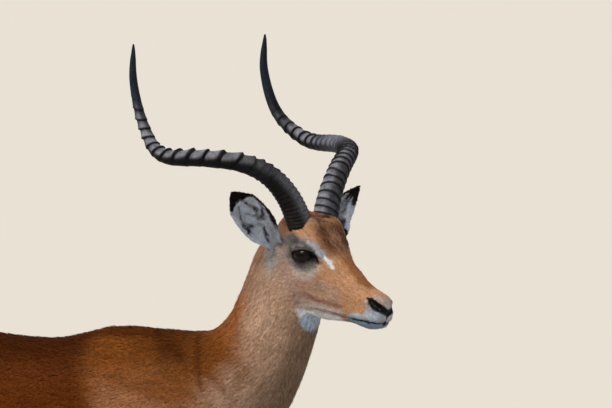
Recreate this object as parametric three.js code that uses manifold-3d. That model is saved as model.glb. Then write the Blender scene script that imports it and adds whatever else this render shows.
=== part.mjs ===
// Impala antelope, adult ram, as a still life-size model. Millimetres, +Z up, nose towards +X, left side +Y.
// The flesh is lofted through named stations, joined, then parted with thin cuts into head, neck, trunk and legs.
import * as THREE from "three";
import { mergeVertices } from "three/addons/utils/BufferGeometryUtils.js";
import Module from "manifold-3d";

const wasm = await Module();
wasm.setup();

// ---- driving dimensions ----
const GAP = 0.35; // between two pieces that meet
const EYE_MID = [580, -25, 1040]; // halfway between the two eyes
const HEAD_TURN = -16; // degrees, the head looks a little to its right
const HEAD_PITCH = 27; // degrees, the muzzle points down
const EYE_RADIUS = 19.5;
const EYE_AHEAD = -9; // centre of the eye along and out from the middle of the head
const EYE_OUT = 36.5;
const HORN_RINGS = 19; // ridges over the lower part of the horn
const EAR_LENGTH = 158;
const CORONET = 45; // top of the claws above the floor
const FORE_CUT = 527; // the fore legs part from the trunk here
const HIND_CUT = 560;

// x, top z, bottom z, half width, height of the widest place (0 bottom, 1 top), squareness
const TRUNK = [
  [-394, 768, 706, 26, 0.5, 2],
  [-386, 800, 668, 58, 0.5, 2.1],
  [-362, 832, 630, 84, 0.52, 2.2],
  [-315, 862, 602, 103, 0.54, 2.3],
  [-250, 880, 590, 113, 0.55, 2.3],
  [-175, 885, 582, 114, 0.53, 2.2],
  [-95, 880, 566, 116, 0.48, 2.1],
  [-15, 874, 550, 119, 0.46, 2.1],
  [65, 876, 537, 117, 0.46, 2.1],
  [120, 888, 531, 110, 0.45, 2],
  [165, 899, 530, 104, 0.42, 1.9],
  [205, 902, 530, 100, 0.42, 1.9],
  [250, 899, 536, 99, 0.42, 1.9],
  [300, 892, 548, 99, 0.44, 2],
  [350, 875, 566, 97, 0.45, 2.1],
  [400, 842, 590, 91, 0.46, 2.2],
  [440, 800, 618, 76, 0.48, 2.2],
  [468, 765, 648, 54, 0.5, 2.1],
  [482, 735, 678, 26, 0.5, 2],
];

// nape x, nape z, throat x, throat z, half width, sideways shift
const NECK = [
  [170, 830, 430, 680, 66, 0],
  [250, 880, 483, 742, 80, 0],
  [318, 892, 512, 795, 77, 0],
  [362, 904, 531, 838, 70, -1],
  [394, 934, 545, 874, 64, -3],
  [413, 970, 557, 906, 59, -5],
  [429, 1004, 567, 934, 56, -7],
  [446, 1042, 578, 956, 54, -9],
  [472, 1078, 592, 985, 50, -12],
];

// along the head, top, bottom, half width, height of the widest place, squareness
const HEAD = [
  [-100, 18, -28, 18, 0.5, 2],
  [-90, 33, -50, 32, 0.55, 2.1],
  [-68, 48, -72, 43, 0.6, 2.3],
  [-40, 54, -84, 49, 0.6, 3],
  [-12, 56, -92, 51, 0.6, 2.8],
  [12, 49, -98, 49.5, 0.6, 2.3],
  [34, 34.5, -103, 44, 0.58, 2],
  [56, 23, -98, 38, 0.53, 2],
  [80, 17.5, -87, 34, 0.5, 2.1],
  [104, 12, -74.5, 29, 0.48, 2.2],
  [124, 11, -66, 26.5, 0.5, 2.3],
  [142, 12, -62, 27, 0.52, 2.3],
  [157, 11, -57, 26, 0.54, 2.3],
  [166, 5.5, -51, 23, 0.56, 2.3],
  [173.5, -4, -44, 17, 0.55, 2.2],
  [178, -14, -34, 8, 0.5, 2],
];

// x, y, z, half length, half width, seen from above; the right side has the y turned round
const FORE_LEG = [
  [300, 58, 735, 74, 30],
  [288, 70, 680, 80, 38],
  [266, 75, 625, 70, 36],
  [246, 75, 578, 55, 34],
  [242, 74, 530, 42, 31],
  [246, 72, 475, 32, 26.5],
  [252, 71, 420, 26, 22.5],
  [257, 70, 370, 21.5, 20],
  [261, 70, 338, 23.5, 22.5],
  [261, 70, 310, 22.5, 21.5],
  [256, 70, 284, 17.5, 16.5],
  [254, 70, 240, 15, 13.5],
  [253, 70, 170, 14.5, 13],
  [253, 70, 125, 16, 14.5],
  [254, 70, 101, 20, 18],
  [261, 70, 82, 18, 17.5],
  [269, 70, 62, 17, 17.5],
  [276, 70, 44, 19.5, 20.5],
];
const HIND_LEG = [
  [-285, 52, 790, 82, 44],
  [-282, 66, 735, 100, 48],
  [-278, 74, 680, 108, 48],
  [-270, 78, 625, 102, 44],
  [-272, 78, 575, 84, 39],
  [-296, 77, 525, 64, 33],
  [-330, 76, 475, 48, 27.5],
  [-365, 75, 428, 38, 23],
  [-394, 74, 386, 33, 20],
  [-412, 74, 355, 31.5, 20],
  [-414, 74, 328, 28, 20.5],
  [-408, 74, 298, 21, 17.5],
  [-404, 74, 258, 16.5, 14.5],
  [-402, 74, 190, 15.5, 13.5],
  [-401, 74, 150, 20, 15.5],
  [-400, 74, 128, 20, 16.5],
  [-396, 74, 102, 20.5, 18.5],
  [-388, 74, 83, 18.5, 17.5],
  [-379, 74, 63, 17, 17.5],
  [-371, 74, 44, 19.5, 20.5],
];
// how far each foot stands ahead of its own station
const STEP = { fore_right: 12, fore_left: -26, hind_right: -20, hind_left: 26 };

// x, z, half length, half width down the tail
const TAIL = [
  [-346, 812, 12, 14],
  [-382, 806, 15, 19],
  [-409, 780, 15, 22],
  [-422, 738, 14, 24],
  [-427, 688, 14, 24],
  [-428, 632, 14, 23],
  [-427, 577, 13, 20],
  [-425, 534, 10, 14],
  [-424, 506, 3, 4],
];

// forward, outward, up from the middle of the eyes, how much lower on the right: a horn's sweep
const HORN = [
  [-24, 26, 44, 0],
  [-32, 53, 100, 0],
  [-44, 89, 139, 0],
  [-66, 134, 163, 1.5],
  [-118, 167, 171, 3],
  [-208, 181, 175, 4],
  [-262, 167, 217, 3],
  [-291, 163, 290, 0],
  [-290, 164, 354, 0],
];
// how far along the horn, radius
const HORN_RADIUS = [
  [0, 22],
  [0.12, 19.8],
  [0.25, 17],
  [0.38, 15],
  [0.5, 14.2],
  [0.6, 12.8],
  [0.7, 10.4],
  [0.8, 8.6],
  [0.9, 6.9],
  [0.95, 5.3],
  [1, 1.4],
];
const EAR_ROOT = [-66, 44, 13];
// each ear points, bows and opens on its own, as in life
const EAR_AXIS = { right: [0.037, 0.764, 0.642], left: [-0.047, 0.817, 0.574] };
const EAR_BEND = { right: 0, left: 9 };
// how far along the ear, half width
const EAR_WIDTH = [[0, 11], [0.1, 13], [0.2, 18.5], [0.3, 25.5], [0.4, 29], [0.5, 29.5],
  [0.6, 28], [0.7, 24], [0.8, 18], [0.9, 11.5], [1, 2]];
const EAR_OPENS = { right: [0.84, 0.3, -0.46], left: [0.95, -0.24, 0.28] };

// ---- helpers ----
const V = (x, y, z) => new THREE.Vector3(x, y, z);
const rad = THREE.MathUtils.degToRad;

// One closed solid through rings of equal count, with a fan on each end.
function loft(rings) {
  const n = rings[0].length;
  const points = rings.flat();
  const index = [];
  for (let i = 0; i + 1 < rings.length; i++)
    for (let j = 0; j < n; j++) {
      const a = i * n + j;
      const b = i * n + ((j + 1) % n);
      index.push(a, b, b + n, a, b + n, a + n);
    }
  for (const [ring, first] of [[rings[0], 0], [rings.at(-1), (rings.length - 1) * n]]) {
    const middle = ring.reduce((sum, p) => sum.add(p), V(0, 0, 0)).divideScalar(n);
    points.push(middle);
    for (let j = 0; j < n; j++) {
      const [a, b] = [first + j, first + ((j + 1) % n)];
      index.push(...(first === 0 ? [points.length - 1, b, a] : [points.length - 1, a, b]));
    }
  }
  const g = new THREE.BufferGeometry().setFromPoints(points);
  g.setIndex(index);
  return g;
}

// The solid of a geometry, turned to face out.
function solid(geometry) {
  const g = geometry.clone();
  g.deleteAttribute("normal");
  g.deleteAttribute("uv");
  const m = mergeVertices(g, 1e-3);
  const make = (flip) => {
    const t = new Uint32Array(m.index.array);
    if (flip) for (let i = 0; i < t.length; i += 3) [t[i + 1], t[i + 2]] = [t[i + 2], t[i + 1]];
    return new wasm.Manifold(
      new wasm.Mesh({ numProp: 3, vertProperties: m.attributes.position.array, triVerts: t }),
    );
  };
  const made = make(false);
  return made.volume() < 0 ? make(true) : made;
}

function geometryOf(s) {
  const m = s.getMesh();
  const g = new THREE.BufferGeometry();
  g.setAttribute("position", new THREE.BufferAttribute(new Float32Array(m.vertProperties), 3));
  g.setIndex(new THREE.BufferAttribute(new Uint32Array(m.triVerts), 1));
  return g;
}

// Offsets across and up of an egg-shaped section: half width, top, bottom, widest height, squareness.
function section(count, half, top, bottom, wide, square) {
  const mid = bottom + (top - bottom) * wide;
  const out = [];
  for (let j = 0; j < count; j++) {
    const t = (2 * Math.PI * j) / count;
    const c = Math.sign(Math.cos(t)) * Math.abs(Math.cos(t)) ** (2 / square);
    const s = Math.sign(Math.sin(t)) * Math.abs(Math.sin(t)) ** (2 / square);
    out.push([half * c, mid + (s > 0 ? top - mid : mid - bottom) * s]);
  }
  return out;
}

// A point of the head's own frame (forward, left, up from the eyes' middle) in the part's frame.
function headPoint(f, l, u) {
  const p = V(f, l, u).applyAxisAngle(V(0, 0, 1), rad(HEAD_TURN));
  return p.add(V(...EYE_MID));
}
// A point along, left of and above the sloping line from eyes to nose.
function facePoint(a, l, h) {
  const [c, s] = [Math.cos(rad(HEAD_PITCH)), Math.sin(rad(HEAD_PITCH))];
  return headPoint(a * c + h * s, l, h * c - a * s);
}

// ---- flesh ----
function trunkSolid() {
  const rings = TRUNK.map(([x, top, bottom, half, wide, square]) =>
    section(24, half, top, bottom, wide, square).map(([y, z]) => V(x, y, z)),
  );
  return solid(loft(rings));
}

function neckSolid() {
  const rings = NECK.map(([nx, nz, tx, tz, half, shift]) => {
    const [nape, throat] = [V(nx, shift, nz), V(tx, shift, tz)];
    return section(20, half, 1, -1, 0.46, 2).map(([y, h]) =>
      nape.clone().lerp(throat, (1 - h) / 2).add(V(0, y, 0)),
    );
  });
  return solid(loft(rings));
}

function headSolid() {
  const rings = HEAD.map(([a, top, bottom, half, wide, square]) =>
    section(22, half, top, bottom, wide, square).map(([l, h]) => facePoint(a, l, h)),
  );
  return solid(loft(rings));
}

// The throat's soft hanging patch and the two cheeks fill the corner between jaw and neck.
function throatSolid() {
  const g = new THREE.SphereGeometry(1, 12, 9);
  g.scale(52, 38, 46);
  const p = headPoint(-32, 0, -62);
  return solid(g.translate(p.x, p.y, p.z));
}

// The ram's sheath and scrotum under the belly.
function underSolid() {
  const ball = (x, z, a, b, c) => solid(new THREE.SphereGeometry(1, 10, 8).scale(a, b, c).translate(x, 0, z));
  return ball(-262, 594, 26, 25, 30).add(ball(-150, 580, 62, 17, 17));
}

// One leg through level sections; each foot steps a little ahead or back of its station.
function legSolid(rows, side, step) {
  const rings = rows.map(([x, y, z, a, b]) => {
    const ahead = step * THREE.MathUtils.clamp(1 - (z - 44) / 560, 0, 1);
    const out = [];
    for (let j = 0; j < 12; j++) {
      const t = (2 * Math.PI * j) / 12;
      out.push(V(x + ahead + a * Math.cos(t), side * y + b * Math.sin(t), z));
    }
    return out;
  });
  return solid(loft(rings));
}

function tailSolid(grow) {
  const rings = TAIL.map(([x, z, a, b], i) => {
    const [p, q] = [TAIL[Math.max(0, i - 1)], TAIL[Math.min(TAIL.length - 1, i + 1)]];
    const along = V(q[0] - p[0], 0, q[1] - p[1]).normalize();
    const across = V(along.z, 0, -along.x);
    const out = [];
    for (let j = 0; j < 12; j++) {
      const t = (2 * Math.PI * j) / 12;
      const d = across.clone().multiplyScalar((a + grow) * Math.cos(t));
      out.push(V(x, (b + grow) * Math.sin(t), z).add(d));
    }
    return out;
  });
  return solid(loft(rings));
}

// ---- horns, ears, eyes, claws ----
// A size at t, from rows of [how far along, size].
function between(rows, t) {
  const i = Math.max(1, rows.findIndex(([at]) => at >= t));
  const [[t0, r0], [t1, r1]] = [rows[i - 1], rows[i]];
  return THREE.MathUtils.mapLinear(t, t0, t1, r0, r1);
}

// Ridges stand out over the lower part; the tip is smooth.
function hornSolid(side, grow) {
  const rings = [];
  const count = HORN_RINGS * 2;
  const knots = HORN.map(([f, l, u, lower]) => headPoint(f, side * l, side < 0 ? u - lower : u));
  const path = new THREE.CatmullRomCurve3(knots, false, "centripetal");
  const stations = [];
  for (let i = 0; i <= count; i++) stations.push([(0.8 * i) / count, i % 2 ? 1.05 : 0.95]);
  for (let i = 1; i <= 6; i++) stations.push([0.8 + (0.2 * i) / 6, 1]);
  let across = V(1, 0, 0);
  for (const [t, swell] of stations) {
    const along = path.getTangentAt(t);
    across.addScaledVector(along, -across.dot(along)).normalize();
    const other = along.clone().cross(across);
    const centre = path.getPointAt(t);
    const r = between(HORN_RADIUS, t) * swell + grow;
    const ring = [];
    for (let j = 0; j < 9; j++) {
      const w = (2 * Math.PI * j) / 9;
      const p = centre.clone().addScaledVector(across, r * 1.08 * Math.cos(w));
      ring.push(p.addScaledVector(other, r * 0.94 * Math.sin(w)));
    }
    rings.push(ring);
  }
  return solid(loft(rings));
}

// A cupped leaf: half width along its length, rolled nearly shut at the root.
function earSolid(side, grow) {
  const turn = (v) => V(v[0], side * v[1], v[2]).applyAxisAngle(V(0, 0, 1), rad(HEAD_TURN)).normalize();
  const root = headPoint(EAR_ROOT[0], side * EAR_ROOT[1], EAR_ROOT[2]);
  const name = side < 0 ? "right" : "left";
  const along = turn(EAR_AXIS[name]);
  const opens = turn(EAR_OPENS[name]);
  opens.addScaledVector(along, -opens.dot(along)).normalize();
  const across = along.clone().cross(opens);
  const rings = [];
  for (let i = 0; i <= 11; i++) {
    const t = i / 11;
    const half = between(EAR_WIDTH, t) + grow;
    const wrap = rad(THREE.MathUtils.lerp(118, 38, Math.min(1, t * 1.5)));
    const thick = THREE.MathUtils.lerp(6.5, 2.2, t) + 2 * grow;
    const radius = half / Math.sin(Math.min(wrap, Math.PI / 2));
    const centre = root.clone().addScaledVector(along, EAR_LENGTH * t - grow + 2 * grow * t);
    centre.addScaledVector(across, EAR_BEND[name] * Math.sin(Math.PI * t));
    const at = (r, w) =>
      centre.clone().addScaledVector(across, r * Math.sin(w)).addScaledVector(opens, half * 0.45 - r * Math.cos(w));
    const ring = [];
    for (let j = 0; j <= 8; j++) ring.push(at(radius, wrap * (j / 4 - 1)));
    // the seat cut in the head is filled in, so no core is left inside the rolled root
    const [first, last] = [at(radius, -wrap), at(radius, wrap)];
    for (let j = 8; j >= 0; j--)
      ring.push(grow > 0 ? first.clone().lerp(last, (j + 0.5) / 9) : at(Math.max(radius - thick, 0.4), wrap * (j / 4 - 1)));
    rings.push(ring);
  }
  return solid(loft(rings));
}

function eyeSolid(side, grow) {
  const g = new THREE.SphereGeometry(EYE_RADIUS + grow, 12, 8);
  const p = headPoint(EYE_AHEAD, side * EYE_OUT, 0);
  return solid(g.rotateX(Math.PI / 2).translate(p.x, p.y, p.z));
}

// One claw of a cloven foot, flat below, sloping forward to a blunt point.
function clawSolid(x, y, inner) {
  const rings = [
    [0, 30, 9.6, 4],
    [5, 30.5, 9.8, 4],
    [22, 25.5, 9.8, -1],
    [CORONET - GAP, 19.5, 9.6, -7],
  ].map(([z, a, b, shift]) => {
    const ring = [];
    for (let j = 0; j < 10; j++) {
      const t = (2 * Math.PI * j) / 10;
      const point = Math.cos(t) > 0.8 ? 1.1 : 1;
      const flat = inner * Math.sin(t) > 0 ? 0.8 : 1;
      ring.push(V(x + shift + a * point * Math.cos(t), y + b * flat * Math.sin(t), z));
    }
    return ring;
  });
  return solid(loft(rings));
}

// ---- cuts ----
const BIG = 4000;
function box(x0, x1, y0, y1, z0, z1) {
  const g = new THREE.BoxGeometry(x1 - x0, y1 - y0, z1 - z0);
  return solid(g.translate((x0 + x1) / 2, (y0 + y1) / 2, (z0 + z1) / 2));
}
// All that lies beyond a plane through a point, looking along a direction, less a part of the gap.
function beyond(x, z, nx, nz, back) {
  const n = V(nx, 0, nz).normalize();
  const g = new THREE.BoxGeometry(BIG, BIG, BIG);
  g.translate(BIG / 2 + back, 0, 0).rotateY(-Math.atan2(n.z, n.x));
  return solid(g.translate(x, 0, z));
}

const SIDES = [["right", -1], ["left", 1]];
const nodes = [];
function add(name, made, color, roughness) {
  const material = new THREE.MeshStandardMaterial({ color, roughness, metalness: 0 });
  const mesh = new THREE.Mesh(geometryOf(made), material);
  mesh.name = name;
  nodes.push(mesh);
}

let flesh = trunkSolid().add(underSolid()).add(neckSolid()).add(headSolid()).add(throatSolid());
for (const [name, side] of SIDES) {
  flesh = flesh.add(legSolid(FORE_LEG, side, STEP["fore_" + name]));
  flesh = flesh.add(legSolid(HIND_LEG, side, STEP["hind_" + name]));
}
flesh = flesh.subtract(box(-BIG, BIG, -BIG, BIG, -BIG, CORONET));
for (const [, side] of SIDES) {
  flesh = flesh.subtract(hornSolid(side, GAP));
  flesh = flesh.subtract(earSolid(side, GAP));
  flesh = flesh.subtract(eyeSolid(side, GAP));
}
flesh = flesh.subtract(tailSolid(GAP));

const HEAD_PLANE = [528, 1010, 0.9, 0.437];
const NECK_PLANE = [395, 826, 0.53, 0.848];
const HALF = GAP / 2;
const head = flesh.intersect(beyond(...HEAD_PLANE, HALF));
const behindHead = flesh.subtract(beyond(...HEAD_PLANE, -HALF));
const neck = behindHead.intersect(beyond(...NECK_PLANE, HALF));
const body = behindHead.subtract(beyond(...NECK_PLANE, -HALF));
const foreLow = box(60, 600, -BIG, BIG, -BIG, FORE_CUT);
const hindLow = box(-700, -140, -BIG, BIG, -BIG, HIND_CUT);
const foreAbove = box(60, 600, -BIG, BIG, -BIG, FORE_CUT + GAP);
const hindAbove = box(-700, -140, -BIG, BIG, -BIG, HIND_CUT + GAP);
const trunk = body.subtract(foreAbove).subtract(hindAbove);

add("head", head, 0xb87a48, 0.85);
add("neck", neck, 0xb58666, 0.85);
add("trunk", trunk, 0x96593a, 0.85);
add("tail", tailSolid(0), 0x9a6240, 0.9);
for (const [name, side] of SIDES) {
  const half = box(-BIG, BIG, side < 0 ? -BIG : 0, side < 0 ? 0 : BIG, -BIG, BIG);
  add(`leg_fore_${name}`, body.intersect(foreLow).intersect(half), 0xb98c62, 0.85);
  add(`leg_hind_${name}`, body.intersect(hindLow).intersect(half), 0xb98c62, 0.85);
  add(`ear_${name}`, earSolid(side, 0), 0x9c6a48, 0.9);
  add(`eye_${name}`, eyeSolid(side, 0), 0x120b08, 0.1);
  add(`horn_${name}`, hornSolid(side, 0), 0x3b3633, 0.55);
  for (const [end, rows] of [["fore", FORE_LEG], ["hind", HIND_LEG]]) {
    const [x, y] = [rows.at(-1)[0] + STEP[`${end}_${name}`], rows.at(-1)[1] * side];
    add(`claw_${end}_${name}_inner`, clawSolid(x, y - side * 10.6, side), 0x1c1a19, 0.45);
    add(`claw_${end}_${name}_outer`, clawSolid(x, y + side * 10.6, -side), 0x1c1a19, 0.45);
  }
}

// The part's origin is the middle of its outline on the floor.
const impala = new THREE.Group();
impala.name = "impala";
impala.add(...nodes);
const middle = new THREE.Box3().setFromObject(impala).getCenter(V(0, 0, 0));
for (const mesh of nodes) mesh.geometry.translate(-middle.x, -middle.y, 0);
export default impala;
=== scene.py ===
import math
from contextlib import contextmanager

import bmesh
import bpy
import numpy as np
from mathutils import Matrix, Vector


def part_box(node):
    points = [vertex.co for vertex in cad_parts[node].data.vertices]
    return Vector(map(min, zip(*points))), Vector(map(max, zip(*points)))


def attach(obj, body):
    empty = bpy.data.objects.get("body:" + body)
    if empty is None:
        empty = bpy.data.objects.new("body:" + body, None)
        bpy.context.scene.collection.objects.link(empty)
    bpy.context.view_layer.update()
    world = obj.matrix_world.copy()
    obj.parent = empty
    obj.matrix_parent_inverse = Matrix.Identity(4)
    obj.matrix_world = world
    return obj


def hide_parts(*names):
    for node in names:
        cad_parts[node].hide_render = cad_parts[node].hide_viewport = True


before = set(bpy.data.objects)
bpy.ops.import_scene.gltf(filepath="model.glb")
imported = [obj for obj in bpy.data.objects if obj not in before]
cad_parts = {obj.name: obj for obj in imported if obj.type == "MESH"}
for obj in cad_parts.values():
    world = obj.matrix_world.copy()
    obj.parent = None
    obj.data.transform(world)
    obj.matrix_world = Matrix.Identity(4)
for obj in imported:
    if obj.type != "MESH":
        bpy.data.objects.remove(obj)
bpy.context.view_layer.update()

bl_info = {
    "name": "Impala ram",
    "version": (1, 0, 0),
    "blender": (4, 5, 0),
    "location": "3D View > Sidebar > Impala",
    "description": "Builds the skin, coat, horns, eyes and claws of a standing impala ram",
    "category": "Object",
}

SIDES = {"right": -1, "left": 1}

# ---- The animal's plan, in millimetres: nose towards +X, left side +Y, floor at 0 ----
HEAD_ZERO = np.array([580.0, -25.0, 1040.0])
HEAD_TURN = math.radians(-16)
HEAD_PITCH = math.radians(27)
EYE_RADIUS = 19.5
# how far ahead of the head's zero the eyeballs sit, and how far out to each side
EYE_AHEAD = -9.0
EYE_OUT = 36.5
# how much of each eye's look goes ahead, and how far its front corner hangs, in radians
EYE_FORWARD = 0.3
EYE_TILT = 0.16
# heights where the hair ends at the claws, and that the head and the ears stay above
CORONET = 45.0
HEAD_ABOVE = 880
EARS_ABOVE = 1000

# x, top z, bottom z, half width, height of the widest place, squareness
TRUNK = [
    [-398, 748, 728, 8, 0.5, 2],
    [-394, 768, 706, 26, 0.5, 2],
    [-386, 800, 668, 58, 0.5, 2.1],
    [-362, 832, 630, 84, 0.52, 2.2],
    [-315, 862, 602, 103, 0.54, 2.3],
    [-250, 880, 590, 113, 0.55, 2.3],
    [-175, 885, 582, 114, 0.53, 2.2],
    [-95, 880, 566, 116, 0.48, 2.1],
    [-15, 874, 550, 119, 0.46, 2.1],
    [65, 876, 537, 117, 0.46, 2.1],
    [120, 888, 531, 110, 0.45, 2],
    [165, 899, 530, 104, 0.42, 1.9],
    [205, 902, 530, 100, 0.42, 1.9],
    [250, 899, 536, 99, 0.42, 1.9],
    [300, 892, 548, 99, 0.44, 2],
    [350, 875, 566, 97, 0.45, 2.1],
    [400, 842, 590, 91, 0.46, 2.2],
    [440, 800, 618, 76, 0.48, 2.2],
    [468, 765, 648, 54, 0.5, 2.1],
    [482, 735, 678, 26, 0.5, 2],
    [486, 715, 698, 8, 0.5, 2],
]
# nape x, nape z, throat x, throat z, half width, sideways shift
NECK = [
    [170, 830, 430, 680, 66, 0],
    [250, 880, 483, 742, 80, 0],
    [318, 892, 512, 795, 77, 0],
    [362, 904, 531, 838, 70, -1],
    [394, 934, 545, 874, 64, -3],
    [413, 970, 557, 906, 59, -5],
    [429, 1004, 567, 934, 56, -7],
    [446, 1042, 578, 956, 54, -9],
    [472, 1078, 592, 985, 50, -12],
]
NECK_WIDEST = 0.46
# along the face, top, bottom, half width, height of the widest place, squareness
HEAD = [
    [-104, 2, -8, 6, 0.5, 2],
    [-100, 18, -28, 18, 0.5, 2],
    [-90, 33, -50, 32, 0.55, 2.1],
    [-68, 47, -72, 43, 0.6, 2.2],
    [-40, 52, -84, 49, 0.6, 2.3],
    [-12, 55, -92, 51, 0.6, 2.2],
    [12, 49, -98, 49.5, 0.6, 2],
    [34, 34.5, -103, 44, 0.58, 1.95],
    [56, 23, -98, 38, 0.53, 2],
    [80, 17.5, -87, 34, 0.5, 2.1],
    [104, 12, -74.5, 29, 0.48, 2.2],
    [124, 11, -66, 26.5, 0.5, 2.3],
    [142, 12, -62, 27, 0.52, 2.3],
    [157, 11, -57, 26, 0.54, 2.3],
    [166, 5.5, -51, 23, 0.56, 2.3],
    [173.5, -4, -44, 17, 0.55, 2.2],
    [178, -14, -34, 8, 0.5, 2],
]
# x, y, z, half length, half width of each level section; the top comes first
FORE_LEG = [
    [300, 58, 735, 74, 30],
    [288, 70, 680, 80, 38],
    [266, 75, 625, 70, 36],
    [246, 75, 578, 55, 34],
    [242, 74, 530, 42, 31],
    [246, 72, 475, 32, 26.5],
    [252, 71, 420, 26, 22.5],
    [257, 70, 370, 21.5, 20],
    [261, 70, 338, 23.5, 22.5],
    [261, 70, 310, 22.5, 21.5],
    [256, 70, 284, 17.5, 16.5],
    [254, 70, 240, 15, 13.5],
    [253, 70, 170, 14.5, 13],
    [253, 70, 125, 16, 14.5],
    [254, 70, 101, 20, 18],
    [261, 70, 82, 18, 17.5],
    [269, 70, 62, 17, 17.5],
    [276, 70, 44, 19.5, 20.5],
]
HIND_LEG = [
    [-285, 52, 790, 82, 44],
    [-282, 66, 735, 100, 48],
    [-278, 74, 680, 108, 48],
    [-270, 78, 625, 102, 44],
    [-272, 78, 575, 84, 39],
    [-296, 77, 525, 64, 33],
    [-330, 76, 475, 48, 27.5],
    [-365, 75, 428, 38, 23],
    [-394, 74, 386, 33, 20],
    [-412, 74, 355, 31.5, 20],
    [-414, 74, 328, 28, 20.5],
    [-408, 74, 298, 21, 17.5],
    [-404, 74, 258, 16.5, 14.5],
    [-402, 74, 190, 15.5, 13.5],
    [-401, 74, 150, 20, 15.5],
    [-400, 74, 128, 20, 16.5],
    [-396, 74, 102, 20.5, 18.5],
    [-388, 74, 83, 18.5, 17.5],
    [-379, 74, 63, 17, 17.5],
    [-371, 74, 44, 19.5, 20.5],
]
# how far ahead of its leg's line each foot stands, fading out up the leg
STEP_FADES = 560
STEP = {"fore_right": 12, "fore_left": -26, "hind_right": -20, "hind_left": 26}
# x, z, half thickness of the bony dock inside the tail's hair
TAIL = [
    [-340, 812, 14],
    [-382, 804, 17],
    [-408, 778, 16],
    [-420, 738, 15],
    [-425, 688, 14],
    [-426, 640, 12.5],
    [-425, 590, 11.5],
    [-424, 556, 10.5],
]
# forward, outward, up from the head's zero, and how many millimetres lower on the right
HORN = [
    [-24, 26, 44, 0],
    [-32, 53, 100, 0],
    [-44, 89, 139, 0],
    [-66, 134, 163, 1.5],
    [-118, 167, 171, 3],
    [-208, 181, 175, 4],
    [-262, 167, 217, 3],
    [-291, 163, 290, 0],
    [-290, 164, 354, 0],
]
# how far along the horn, radius
HORN_RADIUS = [[0, 22], [0.12, 19.8], [0.25, 17], [0.38, 15], [0.5, 14.2], [0.6, 12.8],
               [0.7, 10.4], [0.8, 8.6], [0.9, 6.9], [0.95, 5.3], [0.985, 3], [1, 1.4]]
# forward, outward and up in the head: the root of an ear, the way it points and the way it opens
EAR_ROOT = [-66, 44, 13]
EAR_AXIS = {"right": [0.037, 0.764, 0.642], "left": [-0.047, 0.817, 0.574]}
EAR_OPENS = {"right": [0.84, 0.3, -0.46], "left": [0.95, -0.24, 0.28]}
EAR_LENGTH = 155.0
# how far the ear bows sideways at its middle
EAR_BEND = {"right": 0.0, "left": 9.0}
# how far along the ear, half width
EAR_WIDTH = [[0, 11], [0.1, 13], [0.2, 18.5], [0.3, 25.5], [0.4, 29], [0.5, 29.5],
             [0.6, 28], [0.7, 24], [0.8, 18], [0.9, 11.5], [0.96, 6.5], [1, 2]]

# The frame says where the eyes are, and so where the plan's own zero lies.
EYE_CORNERS = [np.array(corner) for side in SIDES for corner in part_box(f"eye_{side}")]
HEAD_FACES = np.array([math.cos(HEAD_TURN), math.sin(HEAD_TURN), 0.0])
SHIFT = sum(EYE_CORNERS) / len(EYE_CORNERS) * 1000 - (HEAD_ZERO + EYE_AHEAD * HEAD_FACES)


def to_frame(points):
    """Points of the plan, in the frame's metres."""
    return (np.asarray(points, float) + SHIFT) * 0.001


def to_plan(points):
    """Points of the frame, in the plan's millimetres."""
    return np.asarray(points, float) * 1000 - SHIFT


def head_point(f, l, u):
    """Forward, left and up from the head's zero, which lies between the eyes, in the plan."""
    c, s = math.cos(HEAD_TURN), math.sin(HEAD_TURN)
    return np.stack([f * c - l * s, f * s + l * c, u + 0 * f], -1) + HEAD_ZERO


def head_way(f, l, u):
    """The direction forward, left and up in the head, in the plan."""
    return head_point(f, l, u) - HEAD_ZERO


def unit(way):
    return way / np.linalg.norm(way)


def face_point(a, l, h):
    """Along, left of and above the sloping line from eyes to nose, in the plan."""
    c, s = math.cos(HEAD_PITCH), math.sin(HEAD_PITCH)
    return head_point(a * c + h * s, l, h * c - a * s)


def face_place(p):
    """The reverse of face_point: along, left and above for points of the plan."""
    q = p - HEAD_ZERO
    c, s = math.cos(HEAD_TURN), math.sin(HEAD_TURN)
    f, l, u = q[:, 0] * c + q[:, 1] * s, q[:, 1] * c - q[:, 0] * s, q[:, 2]
    c, s = math.cos(HEAD_PITCH), math.sin(HEAD_PITCH)
    return f * c - u * s, l, f * s + u * c


# ---- The body as a field: below zero inside the flesh, in millimetres ----
FAR_OFF = 1e9
NECK_STEPS = 41
# middle and radii of rounded forms: two below the belly, and one under the head, from its zero
GROIN = ([-262, 0, 594], [26, 25, 30])
SHEATH = ([-150, 0, 580], [62, 17, 17])
GULLET = ([-32, 0, -62], [52, 38, 46])


def along(rows, x):
    """The columns of a station list at x, on a smooth curve through its rows."""
    table = np.array(sorted(rows), float)
    key, values = table[:, 0], table[:, 1:]
    slope = np.gradient(values, key, axis=0)
    i = np.clip(np.searchsorted(key, x) - 1, 0, len(key) - 2)
    width = (key[i + 1] - key[i])[..., None]
    t = np.clip((x - key[i])[..., None] / width, 0, 1)
    a, b = values[i], values[i + 1]
    near, far = slope[i] * width, slope[i + 1] * width
    made = (2 * t**3 - 3 * t**2 + 1) * a + (t**3 - 2 * t**2 + t) * near
    made += (3 * t**2 - 2 * t**3) * b + (t**3 - t**2) * far
    return made.T


def egg(side, up, half, top, bottom, widest, square):
    """Distance outside an egg-shaped section, measured from its middle."""
    middle = bottom + (top - bottom) * widest
    up, side = up - middle, side + 1e-3
    reach = np.where(up > 0, top - middle, middle - bottom)
    ratio = (np.abs(side / half) ** square + np.abs(up / reach) ** square) ** (1 / square)
    return np.hypot(side, up) * (1 - 1 / np.maximum(ratio, 1e-4))


def melt(a, b, soft):
    """The nearer of two bodies, run together where they meet."""
    h = np.clip(0.5 + 0.5 * (b - a) / soft, 0, 1)
    return b * (1 - h) + a * h - soft * h * (1 - h)


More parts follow.
